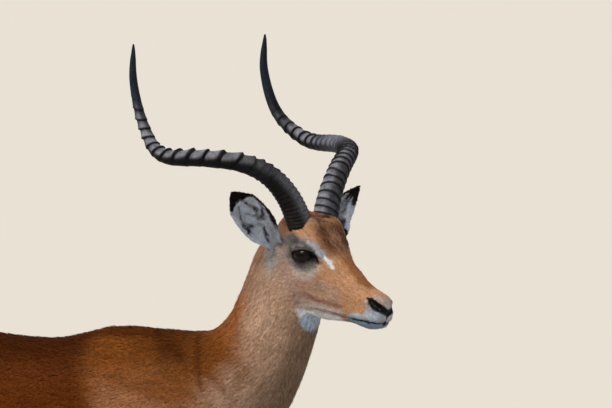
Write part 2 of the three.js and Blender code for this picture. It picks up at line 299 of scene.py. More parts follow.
def ball(p, centre, radii):
    """Distance outside an egg-shaped body, about."""
    q = (p - np.array(centre)) / np.array(radii)
    return (np.linalg.norm(q, axis=1) - 1) * min(radii)


def trunk_field(p):
    x = p[:, 0]
    top, bottom, half, widest, square = along(TRUNK, x)
    section = egg(p[:, 1], p[:, 2], np.maximum(half, 2), top, bottom, widest, square)
    return np.maximum(section, np.maximum(TRUNK[0][0] - x, x - TRUNK[-1][0]))


def neck_place(p):
    """How far up the neck (0 to 1), sideways and nape-ward of its middle, and its section there."""
    steps = np.linspace(0, 1, NECK_STEPS)
    keyed = [[i / (len(NECK) - 1)] + row for i, row in enumerate(NECK)]
    nx, nz, tx, tz, half, shift = along(keyed, steps)
    size = np.hypot(nx - tx, nz - tz)
    ux, uz = (nx - tx) / size, (nz - tz) / size
    beyond = (p[:, None, 0] - nx) * uz - (p[:, None, 2] - nz) * ux
    passed = np.clip((beyond > 0).sum(1) - 1, 0, len(steps) - 2)
    pick = np.arange(len(p))
    low, high = beyond[pick, passed], beyond[pick, passed + 1]
    t = np.clip(low / np.where(np.abs(low - high) < 1e-6, 1, low - high), 0, 1)
    mixed = [c[passed] * (1 - t) + c[passed + 1] * t for c in (nx, nz, tx, tz, half, shift)]
    nx, nz, tx, tz, half, shift = mixed
    reach = np.hypot(nx - tx, nz - tz) / 2
    up = ((p[:, 0] - (nx + tx) / 2) * (nx - tx) + (p[:, 2] - (nz + tz) / 2) * (nz - tz)) / reach / 2
    ends = np.maximum(-beyond[:, 0], beyond[:, -1])
    return (passed + t) / (len(steps) - 1), p[:, 1] - shift, up, half, reach, ends


def neck_field(p):
    _, side, up, half, reach, ends = neck_place(p)
    section = egg(side, up, half, reach, -reach, NECK_WIDEST, 2)
    return np.maximum(section, ends)


def head_field(p):
    a, l, h = face_place(p)
    top, bottom, half, widest, square = along(HEAD, a)
    section = egg(l, h, np.maximum(half, 2), top, bottom, widest, square)
    return np.maximum(section, np.maximum(HEAD[0][0] - a, a - HEAD[-1][0]))


def leg_place(p, name):
    """Ahead of and out from the middle of one leg, with its section's half length and half width."""
    rows = FORE_LEG if name.startswith("fore") else HIND_LEG
    side = SIDES[name.split("_")[1]]
    z = p[:, 2]
    x, y, length, width = along([[row[2], row[0], row[1], row[3], row[4]] for row in rows], z)
    ahead = STEP[name] * np.clip(1 - (z - CORONET) / STEP_FADES, 0, 1)
    return p[:, 0] - x - ahead, side * p[:, 1] - y, length, width, rows[0][2]


def leg_field(p, name):
    fore, out, length, width, top = leg_place(p, name)
    fore = fore + 1e-3
    ratio = np.maximum(np.hypot(fore / length, out / width), 1e-4)
    section = np.hypot(fore, out) * (1 - 1 / ratio)
    return np.maximum(section, np.maximum(CORONET - 2 - p[:, 2], p[:, 2] - top))


def tail_field(p):
    best = np.full(len(p), FAR_OFF)
    for (x0, z0, r0), (x1, z1, r1) in zip(TAIL, TAIL[1:]):
        gap, t = off_line(p, [x0, 0, z0], [x1, 0, z1])
        best = np.minimum(best, gap - (r0 + (r1 - r0) * t))
    return best


def off_line(q, start, end):
    """Distance from the straight line between two points, and how far along it the nearest place is."""
    start, way = np.array(start, float), np.array(end, float) - np.array(start, float)
    t = np.clip((q - start) @ way / (way @ way), 0, 1)
    return np.linalg.norm(q - start - t[:, None] * way, axis=1), t


def bump(gaps, radii):
    """A smooth swelling: 1 at the middle, fading over the radii."""
    return np.exp(-sum((g / r) ** 2 for g, r in zip(gaps, radii)))


def face_swelling(p):
    """Bones and folds of the head, outwards in millimetres."""
    a, l, h = face_place(p)
    side = np.abs(l)
    d = 3.0 * bump((a + 9, side - 45, h - 23), (20, 12, 7))      # rim over the eye
    d += 2.0 * bump((a - 6, side - 45, h + 23), (28, 14, 7))     # cheekbone
    d += 4.0 * bump((a - 8, side - 46, h + 58), (26, 22, 26))    # jaw muscle
    d += 6.5 * bump((a + 35, side - 43, h - 27), (22, 14, 10))   # brow round the horn's root
    d -= 3.0 * bump((a - 36, side - 38, h - 2), (15, 12, 9))     # hollow ahead of the eye
    d -= 3.0 * bump((a - 66, side - 33, h + 44), (26, 14, 16))   # hollow of the cheek
    d += 10.0 * bump((a + 28, side - 29, h - 50), (28, 16, 16))  # forehead raised round the horn's root
    d += 2.0 * bump((a - 128, side - 26, h + 8), (16, 10, 12))   # swelling behind the nostril
    crease = h + 66 - 0.36 * (a - 30)
    d -= 1.6 * bump((crease, np.clip(np.abs(a - 64) - 34, 0, 99)), (3.2, 10)) * (side > 15)
    mouth = h - mouth_line(a)
    d -= 2.2 * bump((mouth, np.clip(112 - a, 0, 99)), (1.7, 6))
    d += 1.6 * bump((mouth - 7, np.clip(125 - a, 0, 99)), (5, 16))
    d += 1.4 * bump((mouth + 7, np.clip(130 - a, 0, 99)), (5, 16))
    d -= 1.2 * bump((l, h + 14, a - 179), (1.6, 12, 14))          # groove of the upper lip
    return d


def mouth_line(a):
    """Height of the slit between the lips along the face."""
    return np.interp(a, [100, 112, 135, 152, 165, 174, 180], [-58, -56, -47.5, -40, -35, -31, -28])


NOSTRIL_WIDTH = 5.2
NOSTRIL_RIM = 1.5
# along the face, out from its middle, above its line: the curved slit from its rear to its front
NOSTRIL = [[147, 20.5, -3], [153, 21, -4], [160, 19, -5.5], [166, 14.5, -7], [170.5, 8, -9.5],
           [174, 2, -12.5]]


def nostril_distance(p):
    """Distance from the curved slit of the nearer nostril, and how far along it, from behind."""
    a, l, h = face_place(p)
    q = np.stack([a, np.abs(l), h], 1)
    best, where = np.full(len(p), FAR_OFF), np.zeros(len(p))
    for i, (start, end) in enumerate(zip(NOSTRIL, NOSTRIL[1:])):
        gap, t = off_line(q, start, end)
        where = np.where(gap < best, (i + t) / (len(NOSTRIL) - 1), where)
        best = np.minimum(best, gap)
    return best, where


def body_swelling(p):
    """Muscles, bones and hollows of the trunk, neck and limbs, outwards in millimetres."""
    x, y, z = p.T
    side = np.abs(y)
    d = 4.0 * bump((x - 235, side - 92, z - 770), (40, 40, 80))      # shoulder blade
    d += 3.5 * bump((x - 300, side - 92, z - 690), (55, 40, 45))     # upper arm
    d -= 4.5 * bump((x - 322, side - 80, z - 800), (16, 50, 60))     # hollow ahead of the shoulder
    d -= 3.0 * bump((x - 150, side - 100, z - 720), (26, 50, 90))    # hollow behind the shoulder
    d += 4.0 * bump((x + 235, side - 88, z - 852), (32, 26, 20))     # point of the hip
    d -= 6.0 * bump((x + 165, side - 108, z - 790), (42, 40, 50))    # flank
    d += 5.0 * bump((x + 300, side - 112, z - 690), (70, 40, 70))    # thigh
    d -= 3.5 * bump((x + 372, side - 70, z - 655), (18, 22, 70))     # line between the thigh muscles
    ribs = np.cos((x + 0.35 * (z - 700)) / 34 * 2 * math.pi)
    d += 0.9 * ribs * bump((x - 20, z - 690), (85, 85)) * (side > 60)
    d += 2.0 * bump((side, z - 890), (9, 30)) * (x < 170) * (x > -330)  # ridge of the back
    return d


def neck_swelling(p):
    t, side, up, half, reach, _ = neck_place(p)
    lean = up / reach
    d = -3.0 * bump((t - 0.52, np.abs(side) / half - 0.75, lean + 0.45), (0.4, 0.4, 0.16))
    d += 2.5 * bump((t - 0.5, np.abs(side) / half - 0.9, lean - 0.05), (0.4, 0.5, 0.3))
    return d


def eye_frame(side):
    """Middle of an eyeball in the plan, the way it looks, from its rear to its front corner, and up."""
    centre = head_point(EYE_AHEAD, side * EYE_OUT, 0)
    look = unit(head_way(EYE_FORWARD, side * 0.95, 0.06))
    level = head_way(math.cos(EYE_TILT), 0, -math.sin(EYE_TILT))
    level = unit(level - look * (level @ look))
    return centre, look, level, np.cross(look, level) * -side


# how far from the rear corner to the front, upper lid, lower lid: on the eyeball, in its radii
LIDS = [[-1.12, 0.0, -0.03], [-0.95, 0.12, -0.14], [-0.6, 0.28, -0.3], [-0.15, 0.42, -0.4],
        [0.3, 0.5, -0.38], [0.7, 0.44, -0.21], [1.0, 0.3, 0.0], [1.25, 0.16, 0.08]]
LID_ENDS = [-1.12, 1.25]


def eye_parts(p, side):
    """Distance from the eyeball's middle, and the way across and up the opening, in its radii."""
    centre, look, level, up = eye_frame(side)
    q = p - centre
    reach = np.linalg.norm(q, axis=1)
    away = q / np.maximum(reach, 1e-6)[:, None]
    # longitude and latitude on the ball, so the corners can wrap round it
    e1 = np.arctan2(away @ level, np.maximum(away @ look, 0.02))
    e2 = np.arcsin(np.clip(away @ up, -1, 1))
    return reach, e1, e2, away @ look


def eye_opening(e1, e2):
    """Above zero outside the gap between the lids, about in eye radii."""
    upper, lower = along(LIDS, np.clip(e1, *LID_ENDS))
    past = np.maximum(LID_ENDS[0] - e1, e1 - LID_ENDS[1])
    return np.maximum(np.maximum(e2 - upper, lower - e2), past)


# thickness of the lids, how much their edges and the fold over them stand out, how deep the gap is cut
LID_THICK = 1.7
LID_EDGE = 0.5
LID_FOLD = 0.8
LID_GAP_DEPTH = 3.5
# how far from the eyeball's middle the lids can reach
LIDS_REACH = 42


def eye_field(p, flesh):
    """Lids round each eyeball, open between their edges."""
    for side in SIDES.values():
        near = np.linalg.norm(p - eye_frame(side)[0], axis=1) < LIDS_REACH
        if not near.any():
            continue
        q = p[near]
        reach, e1, e2, facing = eye_parts(q, side)
        gap = eye_opening(e1, e2)
        lid = reach - EYE_RADIUS - LID_THICK - LID_EDGE * np.exp(-((gap - 0.08) / 0.06) ** 2)
        fold = LID_FOLD * np.exp(-((gap - 0.3) / 0.06) ** 2) * (facing > 0)
        made = melt(flesh[near], lid, soft=7) + fold
        hollow = np.minimum(-gap * EYE_RADIUS, reach - EYE_RADIUS + LID_GAP_DEPTH)
        made = np.where(facing > -0.2, np.maximum(made, hollow), made)
        flesh = flesh.copy()
        flesh[near] = made
    return flesh


def coat_depth(p):
    """How far the skin lies under the tips of the hair."""
    a, _, _ = face_place(p)
    depth = 5.0 - 2.0 * np.clip((p[:, 2] - 960) / 60, 0, 1) - 1.0 * np.clip((a - 60) / 90, 0, 1)
    depth = np.where(a < -90, 5.0, depth)
    low = np.clip((p[:, 2] - 300) / 250, 0, 1)
    return np.minimum(depth, 2.2 + 2.8 * low)


FEET = list(STEP)
PARTS = ["trunk", "neck", "head", *FEET, "tail", "ear_right", "ear_left"]


def part_fields(p):
    """The field of each part by itself, in the order of PARTS but without the ears."""
    legs = [leg_field(p, name) for name in FEET]
    return [trunk_field(p), neck_field(p), head_field(p), *legs, tail_field(p)]


def lies_on(part, *names):
    """Whether each number in PARTS is one of these parts."""
    return np.isin(part, [PARTS.index(name) for name in names])


def flesh_field(p):
    """The whole skin: all parts run together, with muscles, folds, lids, lips and nostrils."""
    trunk, neck, head, *limbs, tail = part_fields(p)
    made = melt(trunk, neck, soft=34)
    for limb in limbs:
        made = melt(made, limb, soft=26)
    made = melt(made, ball(p, *GROIN), soft=10)
    made = melt(made, ball(p, *SHEATH), soft=14)
    made = melt(made, tail, soft=12)
    made -= body_swelling(p)
    gullet = ball(p, head_point(*GULLET[0]), GULLET[1])
    made = melt(made, melt(head, gullet, soft=12), soft=16)
    made -= neck_swelling(p)
    near = p[:, 2] > HEAD_ABOVE
    if near.any():
        q = p[near]
        made[near] -= face_swelling(q) * np.clip((q[:, 0] - 480) / 40, 0, 1)
    made += coat_depth(p)
    if near.any():
        made[near] = eye_field(p[near], made[near])
        gap, where = nostril_distance(p[near])
        made[near] -= NOSTRIL_RIM * np.exp(-((gap - 7.5) / 2.5) ** 2)
        width = NOSTRIL_WIDTH - 5.5 * np.abs(where - 0.25)
        made[near] = -melt(-made[near], gap - width, soft=2)
    return made


def slope_of(field, p, step=0.6):
    """The way in which a field climbs, and how steeply."""
    change = [field(p + step * e) - field(p - step * e) for e in np.eye(3)]
    return np.stack(change, 1) / (2 * step)


def settle(field, p, rounds=5, most=6.0):
    """Moves points onto the field's zero surface."""
    p = p.copy()
    for _ in range(rounds):
        value, slope = field(p), slope_of(field, p)
        size = np.maximum((slope**2).sum(1), 0.15)
        move = -(value / size)[:, None] * slope
        length = np.linalg.norm(move, axis=1)
        p += move * np.minimum(1, most / np.maximum(length, 1e-9))[:, None]
    return p


# ---- Meshes ----
NET_CHUNKS = 24
# how far along the face, and how high in the plan, the finer mesh starts
FINE_FROM = -112
FINE_ABOVE = 890
# the box that the skin lies in
SKIN_BOX = [-480, -160, CORONET - 8], [745, 160, 1135]


def net(field, low, high, cell):
    """Quads over the field's zero surface, one corner in each cell of a grid that it crosses."""
    axes = [np.arange(a, b, cell) for a, b in zip(low, high)]
    grid = np.stack(np.meshgrid(*axes, indexing="ij"), -1)
    shape = grid.shape[:3]
    chunks = np.array_split(grid.reshape(-1, 3), NET_CHUNKS)
    inside = np.concatenate([field(chunk) for chunk in chunks]).reshape(shape) < 0
    corners = np.zeros([n - 1 for n in shape], int)
    for offset in np.ndindex(2, 2, 2):
        corners += inside[tuple(slice(low, low + n) for low, n in zip(offset, corners.shape))]
    mixed = (corners > 0) & (corners < 8)
    number = np.full(corners.shape, -1)
    number[mixed] = np.arange(mixed.sum())
    points = grid[:-1, :-1, :-1][mixed] + cell / 2
    faces = []
    for axis in range(3):
        step = np.eye(3, dtype=int)
        near = np.argwhere(np.diff(inside.astype(int), axis=axis) != 0)
        u, v = step[(axis + 1) % 3], step[(axis + 2) % 3]
        around = [near, near - u, near - u - v, near - v]
        quads = np.stack([number[tuple(c.T)] for c in around], 1)
        leaving = inside[tuple(near.T)]
        faces.append(np.where(leaving[:, None], quads, quads[:, ::-1]))
    return points, np.concatenate(faces)


def edges_of(faces):
    """Each edge of the faces once, as a pair of corner numbers."""
    pairs = np.concatenate([np.stack([faces[:, i], faces[:, i - 1]], 1) for i in range(faces.shape[1])])
    pairs.sort(axis=1)
    return np.unique(pairs, axis=0)


def relax(points, edges, rounds, share=0.5, only=None):
    """Draws each point towards the middle of its neighbours."""
    a, b = edges.T
    count = np.bincount(np.concatenate([a, b]), minlength=len(points))
    for _ in range(rounds):
        total = np.stack([np.bincount(a, points[b, i], len(points))
                          + np.bincount(b, points[a, i], len(points)) for i in range(3)], 1)
        move = share * (total / np.maximum(count, 1)[:, None] - points)
        points = points + (move if only is None else move * only[:, None])
    return points


def add_object(name, data):
    """A new object at the origin, in the scene."""
    made = bpy.data.objects.new(name, data)
    bpy.context.collection.objects.link(made)
    return made


def mesh_object(name, points, faces):
    """A smooth mesh object from points of the plan and lists of corner numbers."""
    data = bpy.data.meshes.new(name)
    data.from_pydata(to_frame(points).tolist(), [], [list(map(int, face)) for face in faces])
    data.shade_smooth()
    data.update()
    return add_object(name, data)


def read(items, key, width=1, kind=float):
    """One property of all vertices, edges or the like: a number for each, or a row of the given width."""
    made = np.empty(len(items) * width, kind)
    items.foreach_get(key, made)
    return made.reshape(-1, width) if width > 1 else made


def points_of(data):
    return to_plan(read(data.vertices, "co", width=3))


def set_points(data, points):
    data.vertices.foreach_set("co", to_frame(points).ravel())
    data.update()


@contextmanager
def edited(data, into=None):
    """The faces of a mesh, open for a change that goes back into it or into another mesh."""
    made = bmesh.new()
    made.from_mesh(data)
    yield made
    made.to_mesh(into or data)
    made.free()


def refine(data, chosen):
    """Cuts in four each face whose corners are all chosen."""
    keep = set(np.flatnonzero(chosen).tolist())
    with edited(data) as made:
        edges = {e for f in made.faces if all(v.index in keep for v in f.verts) for e in f.edges}
        bmesh.ops.subdivide_edges(made, edges=list(edges), cuts=1, use_grid_fill=True)


def loft(rings):
    """Closed faces over rings of equal count, capped by a point at each end."""
    rings = np.asarray(rings)
    count, round_count = rings.shape[:2]
    points = np.concatenate([rings.reshape(-1, 3), rings[0].mean(0)[None], rings[-1].mean(0)[None]])
    first, last = len(points) - 2, len(points) - 1
    faces = []
    for i in range(round_count):
        j = (i + 1) % round_count
        faces.append((first, j, i))
        end = (count - 1) * round_count
        faces.append((last, end + i, end + j))
        for k in range(count - 1):
            low, high = k * round_count, (k + 1) * round_count
            faces.append((low + i, low + j, high + j, high + i))
    return points, faces


def outward(data):
    """Turns all faces outwards."""
    with edited(data) as made:
        bmesh.ops.recalc_face_normals(made, faces=made.faces)


def ear_frame(side):
    """Root of an ear, the way it points, the way it opens, the way across it, and how far it bows."""
    name = "left" if side > 0 else "right"
    rows = (EAR_ROOT, EAR_AXIS[name], EAR_OPENS[name])
    root, axis, opens = [head_way(f, side * out, u) for f, out, u in rows]
    axis = unit(axis)
    opens = unit(opens - axis * (axis @ opens))
    return root + HEAD_ZERO, axis, opens, np.cross(axis, opens), EAR_BEND[name]


def ear_section(t):
    """Half width, half the angle that it wraps round, radius and thickness of the ear, some way up it."""
    t = np.clip(t, 0, 1)
    half = along(EAR_WIDTH, t)[0] - 0.8
    wrap = np.radians(118 - 80 * np.minimum(t * 1.5, 1))
    return half, wrap, half / np.sin(np.minimum(wrap, math.pi / 2)), 4.6 - 2.8 * t


def ear_rings(side, rows=56, cols=22):
    """A cupped leaf with a rim, rolled nearly shut at the root."""
    root, axis, opens, across, bend = ear_frame(side)
    rings = []
    for t in np.linspace(0, 1, rows):
        half, wrap, radius, thick = ear_section(t)
        spread = np.linspace(-1, 1, cols)
        fade = np.sqrt(np.maximum(1 - spread**4, 0))
        centre = root + axis * EAR_LENGTH * t + across * bend * math.sin(math.pi * t)
        wave = 1.2 * np.sin(9 * t) * spread**2

        def at(r, w):
            up = half * 0.45 - r * np.cos(w) + wave
            return centre + np.outer(r * np.sin(w), across) + np.outer(up, opens)

        outer = at(radius + 0 * spread, wrap * spread)
        inner = at(np.maximum(radius - 0.4 - thick * fade, 0.4), wrap * spread * 0.99)
        rings.append(np.concatenate([outer, inner[::-1]]))
    return np.array(rings)


def join_parts(skin, extras):
    """One closed mesh of the skin and the parts that grow from it."""
    for extra in extras:
        bond = skin.modifiers.new("bond", "BOOLEAN")
        bond.operation, bond.solver, bond.object = "UNION", "MANIFOLD", extra
        bpy.context.view_layer.update()
        made = bpy.data.meshes.new_from_object(skin.evaluated_get(bpy.context.evaluated_depsgraph_get()))
        skin.modifiers.remove(bond)
        skin.data = made
        bpy.data.objects.remove(extra)


def build_skin(cell):
    """The skin without its ears: a net settled on the field, finer on the head and finest on the face."""
    points, faces = net(flesh_field, *SKIN_BOX, cell)
    links = edges_of(faces)
    for _ in range(3):
        points = relax(settle(flesh_field, points, rounds=2), links, rounds=2)
    skin = mesh_object("skin", settle(flesh_field, points, rounds=3), faces)
    for chosen in (on_head, close_work):
        refine(skin.data, chosen(points_of(skin.data)))
        points = points_of(skin.data)
        only = on_head(points, margin=5).astype(float)
        links = read(skin.data.edges, "vertices", width=2, kind=int)
        points = relax(points, links, rounds=1, only=only)
        set_points(skin.data, settle(flesh_field, points, rounds=3, most=3))
    return skin


def on_head(p, margin=0):
    """Whether points lie on the head, or within a margin behind and below it."""
    return (face_place(p)[0] > FINE_FROM - 0.8 * margin) & (p[:, 2] > FINE_ABOVE - margin)


def close_work(p):
    """The parts of the face with lids, nostrils and lips."""
    a, l, h = face_place(p)
    eye = (np.hypot(a - 3, h - 1) < 36) & (np.abs(l) > 26)
    return eye | (a > 106)


def level_feet(skin):
    """Ends the legs level with the tops of the claws."""
    points = points_of(skin.data)
    points[:, 2] = np.maximum(points[:, 2], CORONET - 1.5)
    set_points(skin.data, points)


# ---- Where a point lies on the animal ----
def rise(x, low, high):
    """0 below low, 1 above high, smooth between."""
    t = np.clip((x - low) / (high - low), 0, 1)
    return t * t * (3 - 2 * t)


def fall(x, low, high):
    """1 below low, 0 above high."""
    return 1 - rise(x, low, high)


def lattice(p, size, seed):
    """Smooth noise from 0 to 1 with lumps of the given size."""
    q = p / size
    cell = np.floor(q).astype(np.int64)
    t = rise(q - cell, 0, 1)
    total = np.zeros(len(p))
    for corner in np.ndindex(2, 2, 2):
        # large odd numbers turn each corner's place into a number that seems random
        x, y, z = (cell + corner).T
        mixed = (x * 73856093) ^ (y * 19349663) ^ (z * 83492791) ^ (seed * 40503)
        mixed = (mixed ^ (mixed >> 13)) * 1274126177
        value = ((mixed ^ (mixed >> 16)) & 0xFFFF) / 65535
        total += value * np.where(corner, t, 1 - t).prod(1)
    return total


def ear_place(p, side):
    """How far up the ear, across it from -1 to 1, whether within its cup, and whether on the ear."""
    root, axis, opens, across, bend = ear_frame(side)
    q = p - root
    t = q @ axis / EAR_LENGTH
    half, wrap, radius, thick = ear_section(t)
    x, y = q @ across - bend * np.sin(math.pi * np.clip(t, 0, 1)), half * 0.45 - q @ opens
    reach, angle = np.hypot(x, y), np.arctan2(x, y)
    inner = reach < radius - 0.2 - thick * 0.5
    on = (t > 0.04) & (t < 1.05) & (np.abs(reach - radius + thick / 2) < thick / 2 + 2.5)
    on &= np.abs(angle) < wrap + 0.35
    on |= (t > 0.92) & (t < 1.1) & (reach < 14)
    return t, angle / wrap, inner, on & (head_field(p) > -1)


def part_of(p):
    """The number in PARTS of the part that each point lies on."""
    part = np.argmin(part_fields(p), 0)
    near = np.flatnonzero(p[:, 2] > EARS_ABOVE)
    for name, side in SIDES.items():
        on = ear_place(p[near], side)[3]
        part[near[on]] = PARTS.index(f"ear_{name}")
    return part


def unwrap(p, part):
    """A place from 0 to 1 each way for each point: round its part, and along it or out on its ends."""
    place = np.zeros((len(p), 2))
    for name in PARTS:
        on = lies_on(part, name)
        if not on.any():
            continue
        q = p[on]
        left = 0.5 * name.endswith("left")
        if name == "trunk":
            top, bottom, _, _, _ = along(TRUNK, q[:, 0])
            around = np.arctan2(np.abs(q[:, 1]), q[:, 2] - (top + bottom) / 2) / math.pi
            far = q[:, 0] - 0.6 * np.hypot(q[:, 1], q[:, 2] - 740) * np.sign(q[:, 0] - 40) * -1
        elif name == "neck":
            far, side, up, _, _, _ = neck_place(q)
            around = np.arctan2(np.abs(side), up) / math.pi
        elif name == "head":
            a, l, h = face_place(q)
            around = np.arctan2(np.abs(l), h + 15) / math.pi
            far = a - 0.6 * np.hypot(l, h + 15)
        elif name in FEET:
            fore, out, _, _, _ = leg_place(q, name)
            around, far = np.arctan2(out, fore) / 4 / math.pi + (0.25 + left), q[:, 2]
        elif name == "tail":
            around, far = np.arctan2(q[:, 1], q[:, 0] + 430) / 2 / math.pi + 0.5, q[:, 2]
        else:
            far, w, inner, _ = ear_place(q, SIDES[name.split("_")[1]])
            around = 0.125 + 0.11 * np.clip(w, -1.05, 1.05) + 0.25 * inner + left
        far = (far - far.min()) / max(far.max() - far.min(), 1e-6)
        place[on] = np.stack([around, far], 1) * 0.96 + 0.02
    return place


# ---- Marks and lie of the coat, both functions of place alone ----
def streak(a, h, path, soft=0.4):
    """1 along a line of [a, h, half width] in a plane, fading across its edge."""
    best = np.full(len(a), FAR_OFF)
    q = np.stack([a, h], 1)
    for start, end in zip(path, path[1:]):
        gap, t = off_line(q, start[:2], end[:2])
        best = np.minimum(best, gap / (start[2] + (end[2] - start[2]) * t))
    return fall(best, 1 - soft, 1 + soft)


def all_over(tone, p):
    """One colour for every point."""
    return np.tile(np.array(tone), (len(p), 1))


def paint(base, tone, weight):
    """Mixes a colour into the colours of the points, by its weight at each."""
    base += (np.array(tone) - base) * np.clip(weight, 0, 1)[:, None]


def paint_where(on, painter, p, tones, made, *more):
    """Lets a painter work on only the points that are on."""
    on = np.flatnonzero(on)
    if len(on):
        tone = made[on]
        painter(p[on], tones, tone, *more)
        made[on] = tone


def paint_body(p, tones):
    """Colours of the trunk, and the ground that all other parts are painted over."""
    x, y, z = p.T
    side = np.abs(y)
    wave = 18 * (lattice(p, 60, 1) - 0.5) + 8 * (lattice(p, 16, 2) - 0.5)
    made = all_over(tones.flank, p)
    fore = rise(x + 0.25 * (z - 800) + wave, 126, 194)
    saddle_edge = 742 + 14 * rise(-x, 180, 380)
    paint(made, tones.saddle, rise(z + wave, saddle_edge - 16, saddle_edge + 20))
    paint(made, tones.shoulder, fore * rise(z + wave, 690, 752))
    flush = rise(x + 0.8 * wave, 158, 204) * fall(x + 4 * (z - 782), 262, 356) * fall(z, 776, 846)
    paint(made, tones.flush, flush * rise(z, 640, 740) * 0.9)
    paint(made, tones.withers, fore * rise(z + wave - 0.1 * (x - 200), 815, 862))
    paint(made, tones.spine, (1 - fore) * rise(z + wave * 0.7, 808, 866))
    paint(made, tones.spine, rise(z + wave * 0.3, 870, 886) * rise(40 - side, 0, 16) * 0.75)
    paint(made, tones.white, fall(z + wave * 0.5, 578, 602 + 18 * rise(np.abs(x + 40), 120, 260)))
    return made


# x, z, half width along the hollow ahead of the shoulder blade and the fold at the neck's foot, where shade
# is painted
HOLLOW = [[258, 892, 4], [282, 882, 9], [302, 874, 12], [322, 865, 9], [338, 859, 6]]
NECK_FOLD = [[352, 892, 4], [365, 873, 5.5], [370, 852, 5], [376, 832, 4.5], [383, 808, 3.5]]


def paint_hollow_shade(p, tones, made):
    """Painted shade in the hollow ahead of the shoulder blade and in the fold at the neck's foot."""
    x, _, z = p.T
    wave = 8 * (lattice(p, 16, 2) - 0.5)
    paint(made, tones.hollow, bump((x - 316, z - 868), (66, 30)) * 0.5)
    paint(made, tones.hollow, streak(x + wave, z, HOLLOW, 0.95) * 0.6)
    fold = streak(x + 0.5 * wave, z, NECK_FOLD, 0.9)
    paint(made, tones.hollow, fold * (0.1 + 0.6 * lattice(p, 7, 16)))


def paint_neck(p, tones, base):
    """Colours of the neck, fading into the trunk's at its foot."""
    t, side, up, _, reach, _ = neck_place(p)
    lean = up / reach
    wave = 0.16 * (lattice(p, 30, 4) - 0.5)
    made = all_over(tones.neck, p)
    # painted shade on the downward-facing front of the neck
    paint(made, tones.throat, fall(lean + wave, -1.0, -0.2) * 0.9)
    foot = fall(t, 0.3, 0.64)
    nape = rise(lean + wave, 0.22 - 0.5 * foot, 0.75 - 0.4 * foot) * (1 - 0.6 * rise(t, 0.55, 0.8))
    paint(made, tones.nape, nape)
    fleck = 0.35 * (lattice(np.stack([side / 3, t * 22, 0 * t], 1), 1, 20) - 0.5)
    root = fall(t + wave, 0.28, 0.58) * rise(lean + 1.6 * wave + fleck, -0.75, 0.28)
    paint(made, tones.withers, root * 0.95)
    low = fall(t + wave * 0.8 - 0.12 * np.clip(lean, -1, 1), 0.0, 0.2)
    base += (made - base) * (1 - low)[:, None]


def paint_leg(p, tones, made, name):
    """Colours of one leg, with the black tuft over a hind heel."""
    z = p[:, 2]
    fore, out, length, width, _ = leg_place(p, name)
    wave = 10 * (lattice(p, 25, 5) - 0.5)
    paint(made, tones.flank, rise(out / width, -0.3, 0.2) * fall(z, 610, 660))
    paint(made, tones.leg, fall(z + wave, 560, 700))
    inner = rise(-out / width + wave * 0.02, 0.0, 0.55)
    paint(made, tones.white, inner * rise(z, 130, 260) * 0.85)
    paint(made, tones.leg_pale, fall(z, 90, 260) * 0.55)
    paint(made, tones.white, fall(z + wave * 0.4, 56, 82) * 0.75)
    paint(made, tones.shoulder, rise(fore / length, 0.25, 0.8) * rise(z, 150, 300) * 0.4)
    if name.startswith("hind"):
        paint(made, tones.black, rise(-fore / length, -0.1, 0.4) * rise(z, 96, 108) * fall(z, 150, 166))
    paint(made, tones.black, fall(z, 47, 54) * 0.7)


def paint_rump(p, tones, made):
    """White behind, with a dark line down each buttock and one down the tail."""
    x, y, z = p.T
    side = np.abs(y)
    wave = 5 * (lattice(p, 18, 6) - 0.5)
    behind = rise(-x + wave, 346 + 0.12 * (z - 700), 372 + 0.12 * (z - 700)) * rise(z, 470, 540)
    arch = 52 * np.sqrt(np.clip((815 - z) / 60, 0, 1)) * (0.55 + 0.45 * rise(z, 520, 650))
    paint(made, tones.white, behind * fall(side + wave - arch, -4, 5))
    below = rise(-x, 240, 300) * fall(side, 40, 60) * fall(z, 640, 680)
    paint(made, tones.white, below)
    line = fall(np.abs(side + wave * 0.5 - arch - 5), 4, 9) * rise(-x, 325, 356)
    paint(made, tones.black, line * rise(z, 560, 640) * fall(z, 764, 800))


# marks round the eye: strength, colour, path along and above the eye line with half widths
FACE_MARKS = [
    [0.85, "pale", [[0, -30, 6], [12, -29, 10], [25, -22, 9], [34, -10, 5]]],
    [0.8, "grey", [[-36, -4, 5], [-30, -13, 6], [-18, -20, 6], [-6, -23, 5]]],
    [0.95, "grey", [[-46, 0, 6], [-34, 6, 9], [-20, 9, 8]]],
    [0.95, "mark_grey", [[-24, 15, 8], [-6, 19, 9], [6, 20, 8], [16, 18, 6], [26, 14, 5]]],
    [0.95, "brow_grey", [[-1, 24, 3.6], [14, 20.5, 4.2], [26, 15.5, 4], [33, 12.5, 3.4]]],
    [1.0, "stripe", [[34, 12, 2.4], [40, 10.6, 3.4], [46, 8.4, 3.8], [53, 5.2, 3]]],
    [0.85, "lash_grey", [[-4, 25, 2], [6, 24.5, 3.4], [15, 21, 3], [20, 18, 2]]],
    [0.85, "grey", [[-42, 12, 5], [-34, 17, 6], [-24, 20, 5]]],
    [0.8, "lid_shade", [[-34, 9, 3], [-21, 15, 3]]],
    [0.8, "lid", [[-20, 7.5, 1.2], [-5, 14, 1.2]]],
    [0.9, "mark_grey", [[-18, -8, 5], [-12, -14, 7], [0, -18, 8], [14, -14, 8], [26, -6, 5]]],
    [0.6, "lid_shade", [[-10, -13, 4], [2, -14, 5], [13, -9, 6], [20, -2, 5.5], [30, 3, 4]]],
    [1.0, "lid_shade", [[8, 1, 3.5], [18, 3.5, 4], [27, 3, 3]]],
]


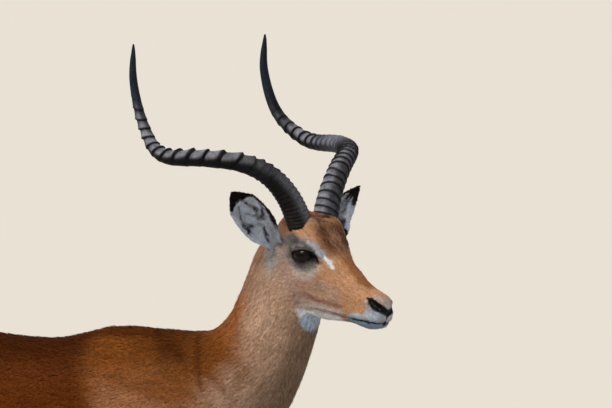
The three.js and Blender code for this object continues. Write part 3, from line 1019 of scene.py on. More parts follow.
def paint_face(p, tones, made):
    """Colours and marks of the head, fading into the neck's."""
    a, l, h = face_place(p)
    side = np.abs(l)
    soft, fine = lattice(p, 11, 7) - 0.5, lattice(p, 4, 8) - 0.5
    slant = np.stack([(a + 0.8 * l) / 16, (l - 0.8 * a) / 2.6, h / 16], 1)
    hatch = lattice(slant, 1, 9)
    on = rise(a + 0.5 * (h + 20) + 8 * soft, -95, -70) * fall(head_field(p) - 6 * rise(a, 0, 30), 2, 12)
    face = all_over(tones.face, p)
    paint(face, tones.cheek, rise(-h + 10 * soft, 10, 34) * fall(a, 70, 110))
    paint(face, tones.cheek, fall(a, -30, 6) * rise(-h, -26, 4))
    paint(face, tones.cheek_shade, bump((a + 38, h + 14), (16, 16)) * 0.6)
    bridge = fall(side + 6 * soft, 6, 18) * rise(a, 34, 62) * fall(a, 118, 140) * rise(h, -12, 4)
    paint(face, tones.nose_ridge, bridge * 0.9)
    brow = fall(side + 8 * soft, 22, 40) * rise(h, 14, 30) * rise(a, -60, -30) * fall(a, 44, 70)
    paint(face, tones.brow, brow * (0.6 + 0.4 * rise(lattice(p, 20, 14), 0.3, 0.7)))
    paint(face, tones.black, brow * rise(hatch, 0.5, 0.75) * fall(a, 20, 60) * 0.55)
    strand = lattice(np.stack([a / 20, l / 3, h / 20], 1), 1, 17)
    crest = fall(a, -50, -28) * rise(h, 8, 34)
    paint(face, tones.crest, crest)
    paint(face, tones.brow, crest * rise(strand, 0.35, 0.65))
    tuft = fall(np.hypot(a + 32, (l - 4) * 0.8), 9, 17) * rise(h, 40, 52)
    paint(face, tones.black, tuft * rise(hatch, 0.3, 0.5) * 0.8)
    aside = side > 18
    around_eye = np.hypot((a + 6) / 44, (h + 2) / 34)
    paint(face, tones.pale, fall(around_eye + 0.3 * soft, 0.6, 1.15) * (a < 40) * 0.4 * aside)
    for strength, tone, path in FACE_MARKS:
        paint(face, getattr(tones, tone), streak(a + 3 * soft, h + 3 * soft, path, 0.75) * strength * aside)
    paint(face, tones.face, streak(a, h, [[14, -46, 8], [40, -44, 11], [66, -40, 9]], 0.9) * 0.4 * aside)
    # painted shade along the crease of the cheek
    crease = streak(a, h, [[26, -57, 4], [50, -58, 4.5], [75, -52, 4], [98, -44, 2.5]], 0.9)
    paint(face, tones.crease, crease * 0.75 * rise(a, 20, 48) * aside)
    light = streak(a, h, [[26, -81, 5], [53, -71, 6.5], [78, -62, 5.5], [102, -52, 4]], 0.8)
    paint(face, tones.pale, light * 0.9)
    chin_edge = np.interp(a, [0, 19, 33, 60, 88, 112], [-90, -88, -86, -76, -66, -61])
    under = fall(h - chin_edge + 3 * soft, -4, 2) * rise(a, 2, 14) * fall(a, 98, 112)
    # a darker line just above the jaw's lower edge, in the crease tone
    paint(face, tones.crease, streak(a, h - chin_edge, [[40, 4, 2], [70, 5, 2.2], [110, 4, 2]]) * 0.55)
    # painted shade: the jaw's underside is bluish shaded white, and white only near its edge
    paint(face, tones.bluish_white_and_shade, under)
    paint(face, tones.white, under * rise(h - chin_edge, -24, -10))
    lip = mouth_line(a)
    rear = np.interp(h, [-62, -50, -44, -36, -30, -20, -7, 3], [110, 114, 120, 134, 146, 147, 142, 144])
    above = np.interp(a, [138, 148, 160, 180], [8, 2, -3, -4])
    muzzle = rise(a - rear + 5 * soft, -2, 4) * fall(h - above, -2, 1)
    paint(face, tones.lash_grey, muzzle * 0.9)
    paint(face, tones.bluish_white_and_shade, muzzle * rise(fine + soft, -0.3, 0.4) * 0.9)
    # painted shade below the mouth, on the lower lip and chin
    paint(face, tones.chin, muzzle * fall(h - lip, -3, 6))
    paint(face, tones.jaw, fall(h - lip, -9, -3) * rise(a, 96, 108) * fall(a + 5 * soft, 118, 130) * 0.8)
    paint(face, tones.lash_grey, streak(a, h, [[147, 5, 2], [160, 5, 2.5], [171, -2, 3]], 0.95) * 0.5)
    paint(face, tones.lash_grey, rise(a, 166, 172) * fall(side, 3, 7) * 0.7)
    paint(face, tones.black, fall(np.abs(h - lip + 0.4), 1.5, 3.4) * rise(a, 112, 128))
    gap, where = nostril_distance(p)
    wide = 6.6 + 1.6 * np.sin(math.pi * np.clip(where * 1.2, 0, 1))
    paint(face, tones.nose, fall(gap, wide - 1, wide + 1))
    paint(face, tones.nose, rise(a, 169, 174) * fall(side, 1.0, 2.4) * fall(h - lip, 24, 28))
    for each in SIDES.values():
        reach, e1, e2, facing = eye_parts(p, each)
        gap = eye_opening(e1, e2)
        close = fall(reach, EYE_RADIUS + 9, EYE_RADIUS + 13) * (facing > -0.1)
        paint(face, tones.lid_shade, close * fall(gap, 0.25, 0.45) * 0.85)
        paint(face, tones.lid, close * fall(gap, 0.1, 0.19))
        on = np.maximum(on, close)
    fold = streak(a, h, [[9, 7.5, 3.4], [18, 9.3, 3.3], [25, 8, 2.6], [31, 4.5, 1.3]])
    paint(face, tones.lid, fold * aside)
    face *= (1 + 0.12 * soft + 0.16 * fine)[:, None]
    made += (face - made) * on[:, None]


# dark marks and painted shade in the folds of each ear's cup: strength, five times how far up it, how far
# across it, half width
EAR_MARKS = {
    "right": [
        [0.8, [[3.45, 0.2, 0.1], [3.0, 0.22, 0.1], [2.7, 0.4, 0.13], [2.5, 0.44, 0.13]]],
        [0.9, [[2.75, 0.86, 0.05], [2.6, 0.88, 0.08], [2.15, 0.66, 0.1], [1.9, 0.42, 0.15],
               [1.9, 0.2, 0.13]]],
        [0.8, [[2.64, 0.5, 0.06], [2.36, 0.37, 0.08], [2.1, 0.2, 0.1]]],
        [0.6, [[2.64, -0.2, 0.05], [2.36, 0.0, 0.08], [2.18, 0.1, 0.08]]],
        [0.7, [[3.2, -0.3, 0.04], [2.9, -0.5, 0.05], [2.6, -0.7, 0.04]]],
        [1.0, [[2.6, -0.84, 0.16], [2.3, -0.8, 0.26], [1.9, -0.8, 0.2]]],
        [0.9, [[2.05, -0.5, 0.12], [1.82, -0.34, 0.13]]],
        [0.95, [[1.3, 0.12, 0.07], [0.95, -0.02, 0.14], [0.66, -0.4, 0.13]]],
        [0.5, [[1.65, -0.02, 0.12], [1.45, 0.15, 0.12]]],
    ],
    "left": [
        [0.9, [[4.2, -0.6, 0.05], [3.9, -0.76, 0.07], [3.5, -0.84, 0.06]]],
        [1.0, [[3.3, -0.9, 0.14], [2.8, -0.6, 0.25], [2.3, -0.2, 0.5], [1.6, 0.3, 0.7], [0.9, 0.3, 0.9]]],
        [0.55, [[4.05, 0.25, 0.08], [3.85, -0.12, 0.1], [3.5, -0.3, 0.12]]],
        [0.7, [[4.0, 0.2, 0.4], [3.2, 0, 0.5]]],
        [1.0, [[2.9, -0.9, 0.3], [2.5, -0.7, 0.6], [2.1, -0.5, 0.8], [1.3, -0.5, 0.7]]],
    ],
}
# how far up each ear its black tip starts
EAR_TIP = {"right": 0.69, "left": 0.83}


def paint_ear(p, tones, made, name):
    """One ear: brown outside, white hair with dark marks and painted shade in the folds of its cup, black
    tip and edge.
    """
    side, tip = SIDES[name], EAR_TIP[name]
    t, w, inner, _ = ear_place(p, side)
    soft = lattice(p, 9, 11) - 0.5
    w = w * side * -1
    outer = all_over(tones.ear_back, p)
    paint(outer, tones.pale, fall(t, 0.05, 0.3) * 0.6)
    paint(outer, tones.black, rise(t + 0.06 * soft, 0.66, 0.78))
    paint(outer, tones.black, rise(w, 0.45, 0.65) * rise(t, 0.16, 0.3))
    cup = all_over(tones.ear_white, p)
    paint(cup, tones.lash_grey, rise(lattice(p, 14, 15), 0.4, 0.7) * 0.5)
    for strength, path in EAR_MARKS[name]:
        fold = streak(5 * t, w + 0.1 * soft, path, 0.75) * strength
        paint(cup, tones.ear_fold, fold * (0.55 + 0.8 * lattice(p, 4, 19)))
    made[:] = np.where(inner[:, None], cup, outer)
    edge = np.abs(w) > 0.78
    paint(made, tones.ear_white, edge * (1 - inner) * fall(t, 0.5, 0.6))
    paint(made, tones.black, rise(-w, 0.6, 0.8) * fall(t, 0.46, 0.54) * (side > 0))
    paint(made, tones.ear_white, rise(-w, 0.66, 0.8) * rise(t, 0.46, 0.52) * 0.9)
    ragged = 0.1 * (lattice(np.stack([w * 7, t * 2, 0 * t], 1), 1, 21) - 0.5)
    paint(made, tones.black, rise(t + 0.05 * soft + 0.03 * np.abs(w) + ragged, tip, tip + 0.05))
    paint(made, tones.black, rise(w + 0.06 * soft, 0.84, 0.92) * rise(t, 0.16, 0.3))


def paint_throat(p, tones, made):
    """The white patch that hangs behind the jaw, with painted shade on its lower part."""
    patch = fall(np.linalg.norm((p - throat_middle()) * [0.8, 0.7, 1.0], axis=1), 14, 20)
    paint(made, tones.bluish_white_and_shade, patch)
    paint(made, tones.white, patch * rise(p[:, 2] - throat_middle()[2], 5, 13))


def paint_ear_roots(p, tones, made):
    """Pale hair below and round the root of each ear."""
    for side in SIDES.values():
        away = (p - ear_frame(side)[0] - [-2, 0, -14]) * [1.5, 1, 0.7]
        near = np.linalg.norm(away, axis=1) + 12 * (lattice(p * [1, 1, 0.3], 4, 18) - 0.5)
        paint(made, tones.pale, fall(near, 10, 36) * 0.7)
        paint(made, tones.lash_grey, fall(near, 8, 22) * 0.7)


def paint_tail(p, tones, made):
    """White hair with a dark line down the back of the tail."""
    x, y, z = p.T
    paint(made, tones.white, fall(z, 790, 815))
    behind = rise(-(x + 424), -6, 2) * fall(np.abs(y), 5, 10)
    paint(made, tones.black, behind * fall(z, 780, 800))


def coat_colour(p, part, tones):
    """The linear colour of the coat at points of the plan."""
    made = paint_body(p, tones)
    x, z = p[:, 0], p[:, 2]
    head, neck, trunk, tail = [lies_on(part, name) for name in ("head", "neck", "trunk", "tail")]
    for painter in (paint_neck, paint_hollow_shade):
        paint_where(head | neck | (trunk & (x > 150)), painter, p, tones, made)
    for name in FEET:
        paint_where(lies_on(part, name), paint_leg, p, tones, made, name)
    paint_where((x < -280) & ~tail, paint_rump, p, tones, made)
    for painter in (paint_face, paint_throat, paint_ear_roots):
        paint_where(head | (neck & (z > 860)), painter, p, tones, made)
    for name in SIDES:
        paint_where(lies_on(part, f"ear_{name}"), paint_ear, p, tones, made, name)
    paint_where(tail, paint_tail, p, tones, made)
    made *= (1 + 0.14 * (lattice(p, 22, 12) - 0.5) + 0.08 * (lattice(p, 6, 13) - 0.5))[:, None]
    return np.clip(made, 0, 1)


def throat_middle():
    """Middle of the white patch that hangs behind the jaw."""
    return face_point(26, 0, -106)


def toward_tail_of_neck(t):
    """The way down the neck from the head, for places up it."""
    rows = np.array(NECK, float)
    middles = np.stack([(rows[:, 0] + rows[:, 2]) / 2, rows[:, 5], (rows[:, 1] + rows[:, 3]) / 2], 1)
    ways = middles[:-1] - middles[1:]
    ways /= np.linalg.norm(ways, axis=1)[:, None]
    keyed = [[(i + 0.5) / len(ways), *way] for i, way in enumerate(ways)]
    return along(keyed, np.clip(t, 0.5 / len(ways), 1 - 0.5 / len(ways))).T


# length of the tufts over the hind heels
HEEL_HAIR = 15.0


def coat_lie(p, part, normals):
    """The way the hair lies on the skin, its length in millimetres, and how many tufts it takes there."""
    fields = np.array(part_fields(p))
    weight = np.exp(-np.clip(fields - fields.min(0), 0, 80) / 14)
    x, y, z = p.T
    a, l, h = face_place(p)
    down = rise(700 - z, 0, 150)[:, None]
    trunk = np.stack([-1 + 0 * x, 0.1 * np.sign(y), -0.3 + 0 * x], 1) + down * [0.2, 0, -0.5]
    trunk += rise(-x, 260, 380)[:, None] * [0.5, 0, -1.2]
    neck = toward_tail_of_neck(neck_place(p)[0])
    c, s = math.cos(HEAD_PITCH), math.sin(HEAD_PITCH)
    back, lift = -1 + 0 * a, 0.3 * rise(h, 5, 40) - 0.3 * rise(-h, 10, 50)
    head = head_way(back * c + lift * s, 0.25 * np.sign(l), lift * c - back * s)
    leg = np.tile([-0.15, 0, -1.0], (len(p), 1))
    tail = np.tile([-0.1, 0, -1.0], (len(p), 1)) + rise(z, 770, 800)[:, None] * [-1.2, 0, 0.4]
    ways = [trunk, neck, head, leg, leg, leg, leg, tail]
    way = sum(w[:, None] * v for w, v in zip(weight, ways))
    on_leg, on_tail = lies_on(part, *FEET), lies_on(part, "tail")
    hang = fall(np.linalg.norm(p - throat_middle(), axis=1), 10, 20)
    kinds = [lies_on(part, "neck"), lies_on(part, "head"), on_leg]
    length = np.select(kinds, [13.0, 8.5 - 3.5 * rise(a, 20, 130), 6.5 + 6 * rise(z, 350, 620)],
                       12.5 - 2.5 * rise(z, 880, 960)) + 3 * hang
    dense = np.select(kinds, [1.9 + 1.2 * hang, 2.0 + 0.8 * rise(a, 100, 140), 0.7], 0.95)
    length[lies_on(part, *FEET[2:]) & (z > 92) & (z < 160)] = HEEL_HAIR
    length[on_tail] = 46 - 26 * rise(z[on_tail], 740, 800)
    dense[on_tail] = 2.2
    for name, side in SIDES.items():
        on = lies_on(part, f"ear_{name}")
        t, w, inner, _ = ear_place(p[on], side)
        _, axis, _, across, _ = ear_frame(side)
        way[on] = axis + np.where(inner, -0.5 * w, 0.35 * w)[:, None] * across
        length[on] = np.where(inner, 7 + 3 * rise(np.abs(w), 0.6, 0.95), 5.0)
        length[on] *= 1 - 0.6 * rise(t, 0.6, 0.9)
        length[on] *= 0.5 + 0.5 * rise(t, 0.05, 0.18)
        dense[on] = np.where(inner, 2.4, 2.6)
    bare = (nostril_distance(p)[0] < 7.4) | (a > 168.5) & (np.abs(l) < 2.0) & (h < -10)
    bare |= (np.abs(h - mouth_line(a)) < 1.6) & (a > 112)
    bare |= on_leg & (z < CORONET + 1)
    for side in SIDES.values():
        reach, e1, e2, facing = eye_parts(p, side)
        length = np.minimum(length, 3.2 + 0.35 * np.maximum(reach - 24, 0))
        bare |= (reach < EYE_RADIUS + 6) & (facing > -0.1) & (eye_opening(e1, e2) < 0.16)
        root, axis = ear_frame(side)[:2]
        bare |= np.linalg.norm(p - root - axis * 4, axis=1) < 6
    dense[bare] = 0
    way -= normals * (way * normals).sum(1)[:, None]
    way /= np.maximum(np.linalg.norm(way, axis=1), 1e-6)[:, None]
    return way, length, dense


# ---- Materials ----
def linear(hex_colour):
    """The linear colour of an sRGB hex code."""
    parts = [int(hex_colour[i:i + 2], 16) / 255 for i in (1, 3, 5)]
    return [c / 12.92 if c <= 0.04045 else ((c + 0.055) / 1.055) ** 2.4 for c in parts]


def node(tree, kind, links=None, **settings):
    """Adds a node, sets what is named, and fills inputs with values or other nodes' outputs."""
    made = tree.nodes.new(kind)
    for key, value in settings.items():
        setattr(made, key, value)
    for key, value in (links or {}).items():
        if isinstance(value, bpy.types.NodeSocket):
            tree.links.new(value, made.inputs[key])
        else:
            made.inputs[key].default_value = value
    return made


def maths(tree, operation, *values):
    return node(tree, "ShaderNodeMath", dict(enumerate(values)), operation=operation).outputs[0]


def vectors(tree, operation, *values):
    keys = [0, "Scale"] if operation == "SCALE" else [0, 1]
    return node(tree, "ShaderNodeVectorMath", dict(zip(keys, values)), operation=operation).outputs[0]


def finish_of(name, roughness, grain, grain_size, relief, relief_size, **fixed):
    """A material in the mesh's own paint, mottled and roughened by noise of sizes in millimetres."""
    made = bpy.data.materials.new(name)
    made.use_nodes = True
    tree = made.node_tree
    shader = tree.nodes["Principled BSDF"]
    place = node(tree, "ShaderNodeTexCoord").outputs["Object"]
    colour = node(tree, "ShaderNodeAttribute", attribute_name="paint").outputs["Color"]
    noise = node(tree, "ShaderNodeTexNoise", {"Vector": place, "Scale": 1000 / grain_size, "Detail": 3.0})
    limits = {"From Min": 0.3, "From Max": 0.7, "To Min": 1 - grain, "To Max": 1 + grain}
    span = node(tree, "ShaderNodeMapRange", {"Value": noise.outputs["Fac"], **limits}).outputs["Result"]
    tree.links.new(vectors(tree, "SCALE", colour, span), shader.inputs["Base Color"])
    rough = node(tree, "ShaderNodeTexNoise", {"Vector": place, "Scale": 1000 / relief_size, "Detail": 2.0})
    raised = node(tree, "ShaderNodeBump", {"Height": rough.outputs["Fac"], "Strength": 1.0,
                                           "Distance": relief / 1000})
    tree.links.new(raised.outputs["Normal"], shader.inputs["Normal"])
    shader.inputs["Roughness"].default_value = roughness
    for key, value in fixed.items():
        shader.inputs[key.replace("_", " ")].default_value = value
    return made


def build_finishes():
    """All materials, by short name."""
    return {
        # short flat hair: matt, with a soft grain as of single hairs
        "hide": finish_of("short hair close to the skin", roughness=0.8, grain=0.16, grain_size=2.2,
                          relief=0.35, relief_size=1.6, Specular_IOR_Level=0.03),
        # hair in tufts: a faint silky sheen along the body
        "hair": finish_of("silky short hair", roughness=0.6, grain=0.14, grain_size=1.6,
                          relief=0.0, relief_size=2.0, Specular_IOR_Level=0.03),
        # bare nose: black, pebbled and a little wet
        "nose": finish_of("moist bare nose skin", roughness=0.42, grain=0.15, grain_size=2.0,
                          relief=0.3, relief_size=1.3, Specular_IOR_Level=0.1),
        # eye: near black behind a wet clear surface
        "eye": finish_of("wet dark eye", roughness=0.12, grain=0.05, grain_size=3.0,
                         relief=0.0, relief_size=3.0, Specular_IOR_Level=0.14),
        # horn: dry ridged horn with fine lines
        "horn": finish_of("dry ridged horn", roughness=0.5, grain=0.3, grain_size=3.2,
                          relief=0.6, relief_size=2.2, Specular_IOR_Level=0.07),
        # claws: dull black horn, a little worn
        "claw": finish_of("dull black claw horn", roughness=0.5, grain=0.2, grain_size=6.0,
                          relief=0.25, relief_size=2.0),
    }


def set_paint(data, colours):
    """Stores linear colours, one for each corner point, as the mesh's paint."""
    layer = data.attributes.get("paint") or data.color_attributes.new("paint", "FLOAT_COLOR", "POINT")
    layer.data.foreach_set("color", np.column_stack([colours, np.ones(len(colours))]).ravel())


def set_value(data, name, values, kind="FLOAT"):
    """Stores a number or a vector for each corner point."""
    layer = data.attributes.new(name, kind, "POINT")
    key = "vector" if kind == "FLOAT_VECTOR" else "value"
    layer.data.foreach_set(key, np.ascontiguousarray(values, float).ravel())


def get_value(data, name, key="value", width=1):
    """The numbers or vectors stored under a name."""
    return read(data.attributes[name].data, key, width)


def normals_of(data):
    return read(data.vertex_normals, "vector", width=3)


def show(made, slot, *nodes):
    """Hands a finished piece to the frame, standing for these CAD nodes."""
    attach(made, "root")
    if nodes:
        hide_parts(*nodes)


# ---- Geometry Nodes ----
def new_tree(name, inputs):
    """A node tree with these (name, kind) inputs after Geometry, and its input node."""
    tree = bpy.data.node_groups.new(name, "GeometryNodeTree")
    for label, kind in [("Geometry", "Geometry"), *inputs]:
        tree.interface.new_socket(label, in_out="INPUT", socket_type=f"NodeSocket{kind}")
    tree.interface.new_socket("Geometry", in_out="OUTPUT", socket_type="NodeSocketGeometry")
    return tree, node(tree, "NodeGroupInput").outputs


def named(tree, name, kind="FLOAT"):
    """The values that the mesh holds under a name."""
    made = node(tree, "GeometryNodeInputNamedAttribute", {"Name": name}, data_type=kind)
    return made.outputs["Attribute"]


def store(tree, geometry, name, value, kind="FLOAT"):
    """The geometry with these values kept under a name."""
    links = {"Geometry": geometry, "Name": name, "Value": value}
    return node(tree, "GeometryNodeStoreNamedAttribute", links, data_type=kind).outputs[0]


def close_tree(tree, geometry, finish):
    """Ends a tree in Realize Instances and Set Material."""
    real = node(tree, "GeometryNodeRealizeInstances", {"Geometry": geometry}).outputs[0]
    coated = node(tree, "GeometryNodeSetMaterial", {"Geometry": real, "Material": finish}).outputs[0]
    node(tree, "NodeGroupOutput", {"Geometry": coated})


def run_tree(made, tree, values):
    """Turns an object into the plain mesh that the tree makes of it."""
    work = made.modifiers.new("nodes", "NODES")
    work.node_group = tree
    for item in tree.interface.items_tree:
        if item.in_out == "INPUT" and item.name in values:
            work[item.identifier] = values[item.name]
    view = bpy.context.evaluated_depsgraph_get()
    seen = made.evaluated_get(view)
    result = bpy.data.meshes.new_from_object(seen, preserve_all_data_layers=True, depsgraph=view)
    made.modifiers.clear()
    old, made.data = made.data, result
    bpy.data.meshes.remove(old)


def coat_tree():
    """Scatters tufts over a surface by its dense attribute, each turned along its lie."""
    floats = [(name, "Float") for name in ("Tufts per square metre", "Width", "Lift", "Straying")]
    inputs = [("Tuft", "Object"), *floats, ("Seed", "Int"), ("Finish", "Material")]
    tree, given = new_tree("Coat of tufts", inputs)
    number = maths(tree, "MULTIPLY", named(tree, "dense"), given["Tufts per square metre"])
    scatter = node(tree, "GeometryNodeDistributePointsOnFaces",
                   {"Mesh": given["Geometry"], "Density": number, "Seed": given["Seed"]})
    points, normal = scatter.outputs["Points"], scatter.outputs["Normal"]
    points = store(tree, points, "root", node(tree, "GeometryNodeInputPosition").outputs[0], "FLOAT_VECTOR")
    points = store(tree, points, "up", normal, "FLOAT_VECTOR")
    stray = node(tree, "FunctionNodeRandomValue", {"Min": (-1, -1, -1), "Max": (1, 1, 1), "Seed": 5},
                 data_type="FLOAT_VECTOR").outputs["Value"]
    stray = vectors(tree, "SCALE", stray, given["Straying"])
    way = vectors(tree, "ADD", named(tree, "lie", "FLOAT_VECTOR"), stray)
    way = vectors(tree, "ADD", way, vectors(tree, "SCALE", normal, given["Lift"]))
    turn = node(tree, "FunctionNodeAxesToRotation", {"Primary Axis": way, "Secondary Axis": normal},
                primary_axis="X", secondary_axis="Z").outputs[0]
    vary = node(tree, "FunctionNodeRandomValue", {2: 0.72, 3: 1.18, "Seed": 9}, data_type="FLOAT")
    length = maths(tree, "MULTIPLY", named(tree, "hair"), vary.outputs[1])
    width = maths(tree, "MULTIPLY", named(tree, "wide"), given["Width"])
    size = node(tree, "ShaderNodeCombineXYZ", {"X": length, "Y": width, "Z": length}).outputs[0]
    tuft = node(tree, "GeometryNodeObjectInfo", {"Object": given["Tuft"]}).outputs["Geometry"]
    placed = node(tree, "GeometryNodeInstanceOnPoints",
                  {"Points": points, "Instance": tuft, "Rotation": turn, "Scale": size}).outputs[0]
    close_tree(tree, placed, given["Finish"])
    return tree


# for each blade of a tuft, how far across it stands, how far along it starts and how far it fans out
TUFT_BLADES = [[-0.36, 0.0, -0.22], [0.0, 0.05, 0.1], [0.36, -0.02, 0.3]]
BLADE_HALF = 0.24
BLADE_POINTS = 5


def build_tuft():
    """A tuft one unit long and wide, lying along X: tapered blades side by side."""
    points, faces = [], []
    for across, start, fan in TUFT_BLADES:
        a, b, c, d, tip = range(len(points), len(points) + BLADE_POINTS)
        bend, waist = across + fan * 0.4, BLADE_HALF * 0.8
        points += [[start - 0.04, across - BLADE_HALF, -0.08], [start - 0.04, across + BLADE_HALF, -0.08]]
        points += [[start + 0.5, bend - waist, 0.06], [start + 0.5, bend + waist, 0.06]]
        points += [[start + 0.95, across * 0.8 + fan, 0.02]]
        faces += [[c, d, b, a], [tip, d, c]]
    data = bpy.data.meshes.new("tuft")
    data.from_pydata(points, [], faces)
    data.shade_smooth()
    if data.polygons[0].normal.z < 0:
        data.flip_normals()
    return add_object("tuft", data)


def part_mesh(skin, name, keep):
    """A copy of those faces of the skin that are kept, with their attributes."""
    data = bpy.data.meshes.new(name)
    with edited(skin.data, data) as made:
        bmesh.ops.delete(made, geom=[f for f, kept in zip(made.faces, keep) if not kept], context="FACES")
    return add_object(name, data)


# how wide the patch of each tuft is on the unwrap
TUFT_PATCH = 0.003
# how bright a blade is at its five points, from root to tip: darker at the root, as painted shade where
# blades lie under each other
BLADE_SHADES = [0.88, 0.88, 1.0, 1.0, 1.1]


def finish_coat(piece, tuft, tones):
    """Paints each tuft as the skin at its root, lays it on the unwrap and softens its normals."""
    data = piece.data
    each = len(tuft.data.vertices)
    roots = to_plan(get_value(data, "root", "vector", 3)[::each])
    up = get_value(data, "up", "vector", 3)
    part = part_of(roots)
    rng = np.random.default_rng(7)
    place = unwrap(roots, part)
    strand = lattice(np.column_stack([place * [110, 20], part * 7]), 1, 13)
    shade = 1 + 0.34 * (strand - 0.5) + 0.28 * (rng.random(len(roots)) - 0.5)
    colours = np.repeat(coat_colour(roots, part, tones) * shade[:, None], each, 0)
    blades = 1 + 0.4 * (rng.random(len(colours) // BLADE_POINTS) - 0.5)
    deep = np.tile(BLADE_SHADES, len(blades)) * np.repeat(blades, BLADE_POINTS)
    set_paint(data, np.clip(colours * deep[:, None], 0, 1))
    local = np.array([[v.co.x, v.co.y + 0.5] for v in tuft.data.vertices])
    corners = read(data.loops, "vertex_index", kind=int)
    spot = place[corners // each] + (np.clip(local[corners % each], 0, 1) - 0.5) * TUFT_PATCH
    data.uv_layers.new(name="OFBake").data.foreach_set("uv", spot.ravel())
    soft = normals_of(data) * 0.45 + up * 0.75
    soft /= np.maximum(np.linalg.norm(soft, axis=1), 1e-6)[:, None]
    for name in ("root", "up", "lie", "hair", "wide", "dense"):
        layer = data.attributes.get(name)
        if layer:
            data.attributes.remove(layer)
    data.normals_split_custom_set_from_vertices(soft.tolist())


# ---- Horns, eyes, claws ----
def horn_line(side, steps):
    """Points along the horn's middle at equal spacing, how far along each is, and the horn's length."""
    rows = [[f, side * l, u - lower * (side < 0)] for f, l, u, lower in HORN]
    knots = np.array([head_point(*np.array(row, float)) for row in rows])
    gaps = np.sqrt(np.linalg.norm(np.diff(knots, axis=0), axis=1))
    keys = np.concatenate([[0], np.cumsum(gaps)])
    fine = along(np.column_stack([keys, knots]).tolist(), np.linspace(0, keys[-1], HORN_STEPS)).T
    walked = np.concatenate([[0], np.cumsum(np.linalg.norm(np.diff(fine, axis=0), axis=1))])
    share = np.linspace(0, 1, steps)
    middle = np.stack([np.interp(share, walked / walked[-1], fine[:, i]) for i in range(3)], 1)
    return middle, share, walked[-1]


# for each horn, how far along it, and the millimetres from ridge to ridge there
RIDGE_GAP = {
    "right": [[0, 5], [0.06, 7], [0.12, 9], [0.2, 12], [0.28, 18], [0.36, 28], [0.46, 29], [0.55, 25],
              [0.62, 20], [0.7, 19], [1, 19]],
    "left": [[0, 7], [0.06, 13], [0.18, 15], [0.28, 11], [0.36, 12], [0.46, 15], [0.56, 17], [0.7, 17],
             [1, 19]],
}
# how far along each horn its ridges have faded out
RIDGES_END = {"right": 0.87, "left": 0.78}
# points tried along the horn's middle, rings of its mesh, and corners of each ring
HORN_STEPS = 1200
HORN_RINGS = 560
HORN_SIDES = 36


def horn_tree():
    """Raises leaning ridges on a horn, to a given count and height."""
    floats = [(name, "Float") for name in ("Ridges", "Height", "Lean")]
    tree, given = new_tree("Ridges of the horn", [*floats, ("Finish", "Material")])
    phase = maths(tree, "MULTIPLY", named(tree, "turns"), given["Ridges"])
    phase = maths(tree, "ADD", phase, maths(tree, "MULTIPLY", named(tree, "tilt"), given["Lean"]))
    saw = maths(tree, "FRACT", phase)
    climb = node(tree, "ShaderNodeMapRange", {"Value": saw, "From Min": 0.0, "From Max": 0.16},
                 interpolation_type="SMOOTHSTEP").outputs["Result"]
    drop = maths(tree, "POWER", maths(tree, "SUBTRACT", 1.0, saw), 1.9)
    ridge = maths(tree, "MULTIPLY", maths(tree, "MULTIPLY", climb, drop), 1.5)
    raised = maths(tree, "MULTIPLY", maths(tree, "SUBTRACT", ridge, 0.3), named(tree, "ridged"))
    push = vectors(tree, "SCALE", node(tree, "GeometryNodeInputNormal").outputs[0],
                   maths(tree, "MULTIPLY", raised, given["Height"]))
    moved = node(tree, "GeometryNodeSetPosition", {"Geometry": given["Geometry"], "Offset": push})
    close_tree(tree, store(tree, moved.outputs[0], "ridge", saw), given["Finish"])
    return tree


def over_rings(values):
    """A value for each ring of a horn, spread over its corner points and the two end points."""
    return np.concatenate([np.repeat(values, HORN_SIDES), values[[0, -1]]])


def horn_ahead():
    """About forward and a little to the left in the head, as a step in the plan."""
    return head_point(1.0, 0.3, 0.0) - head_point(0.0, 0.0, 0.0)


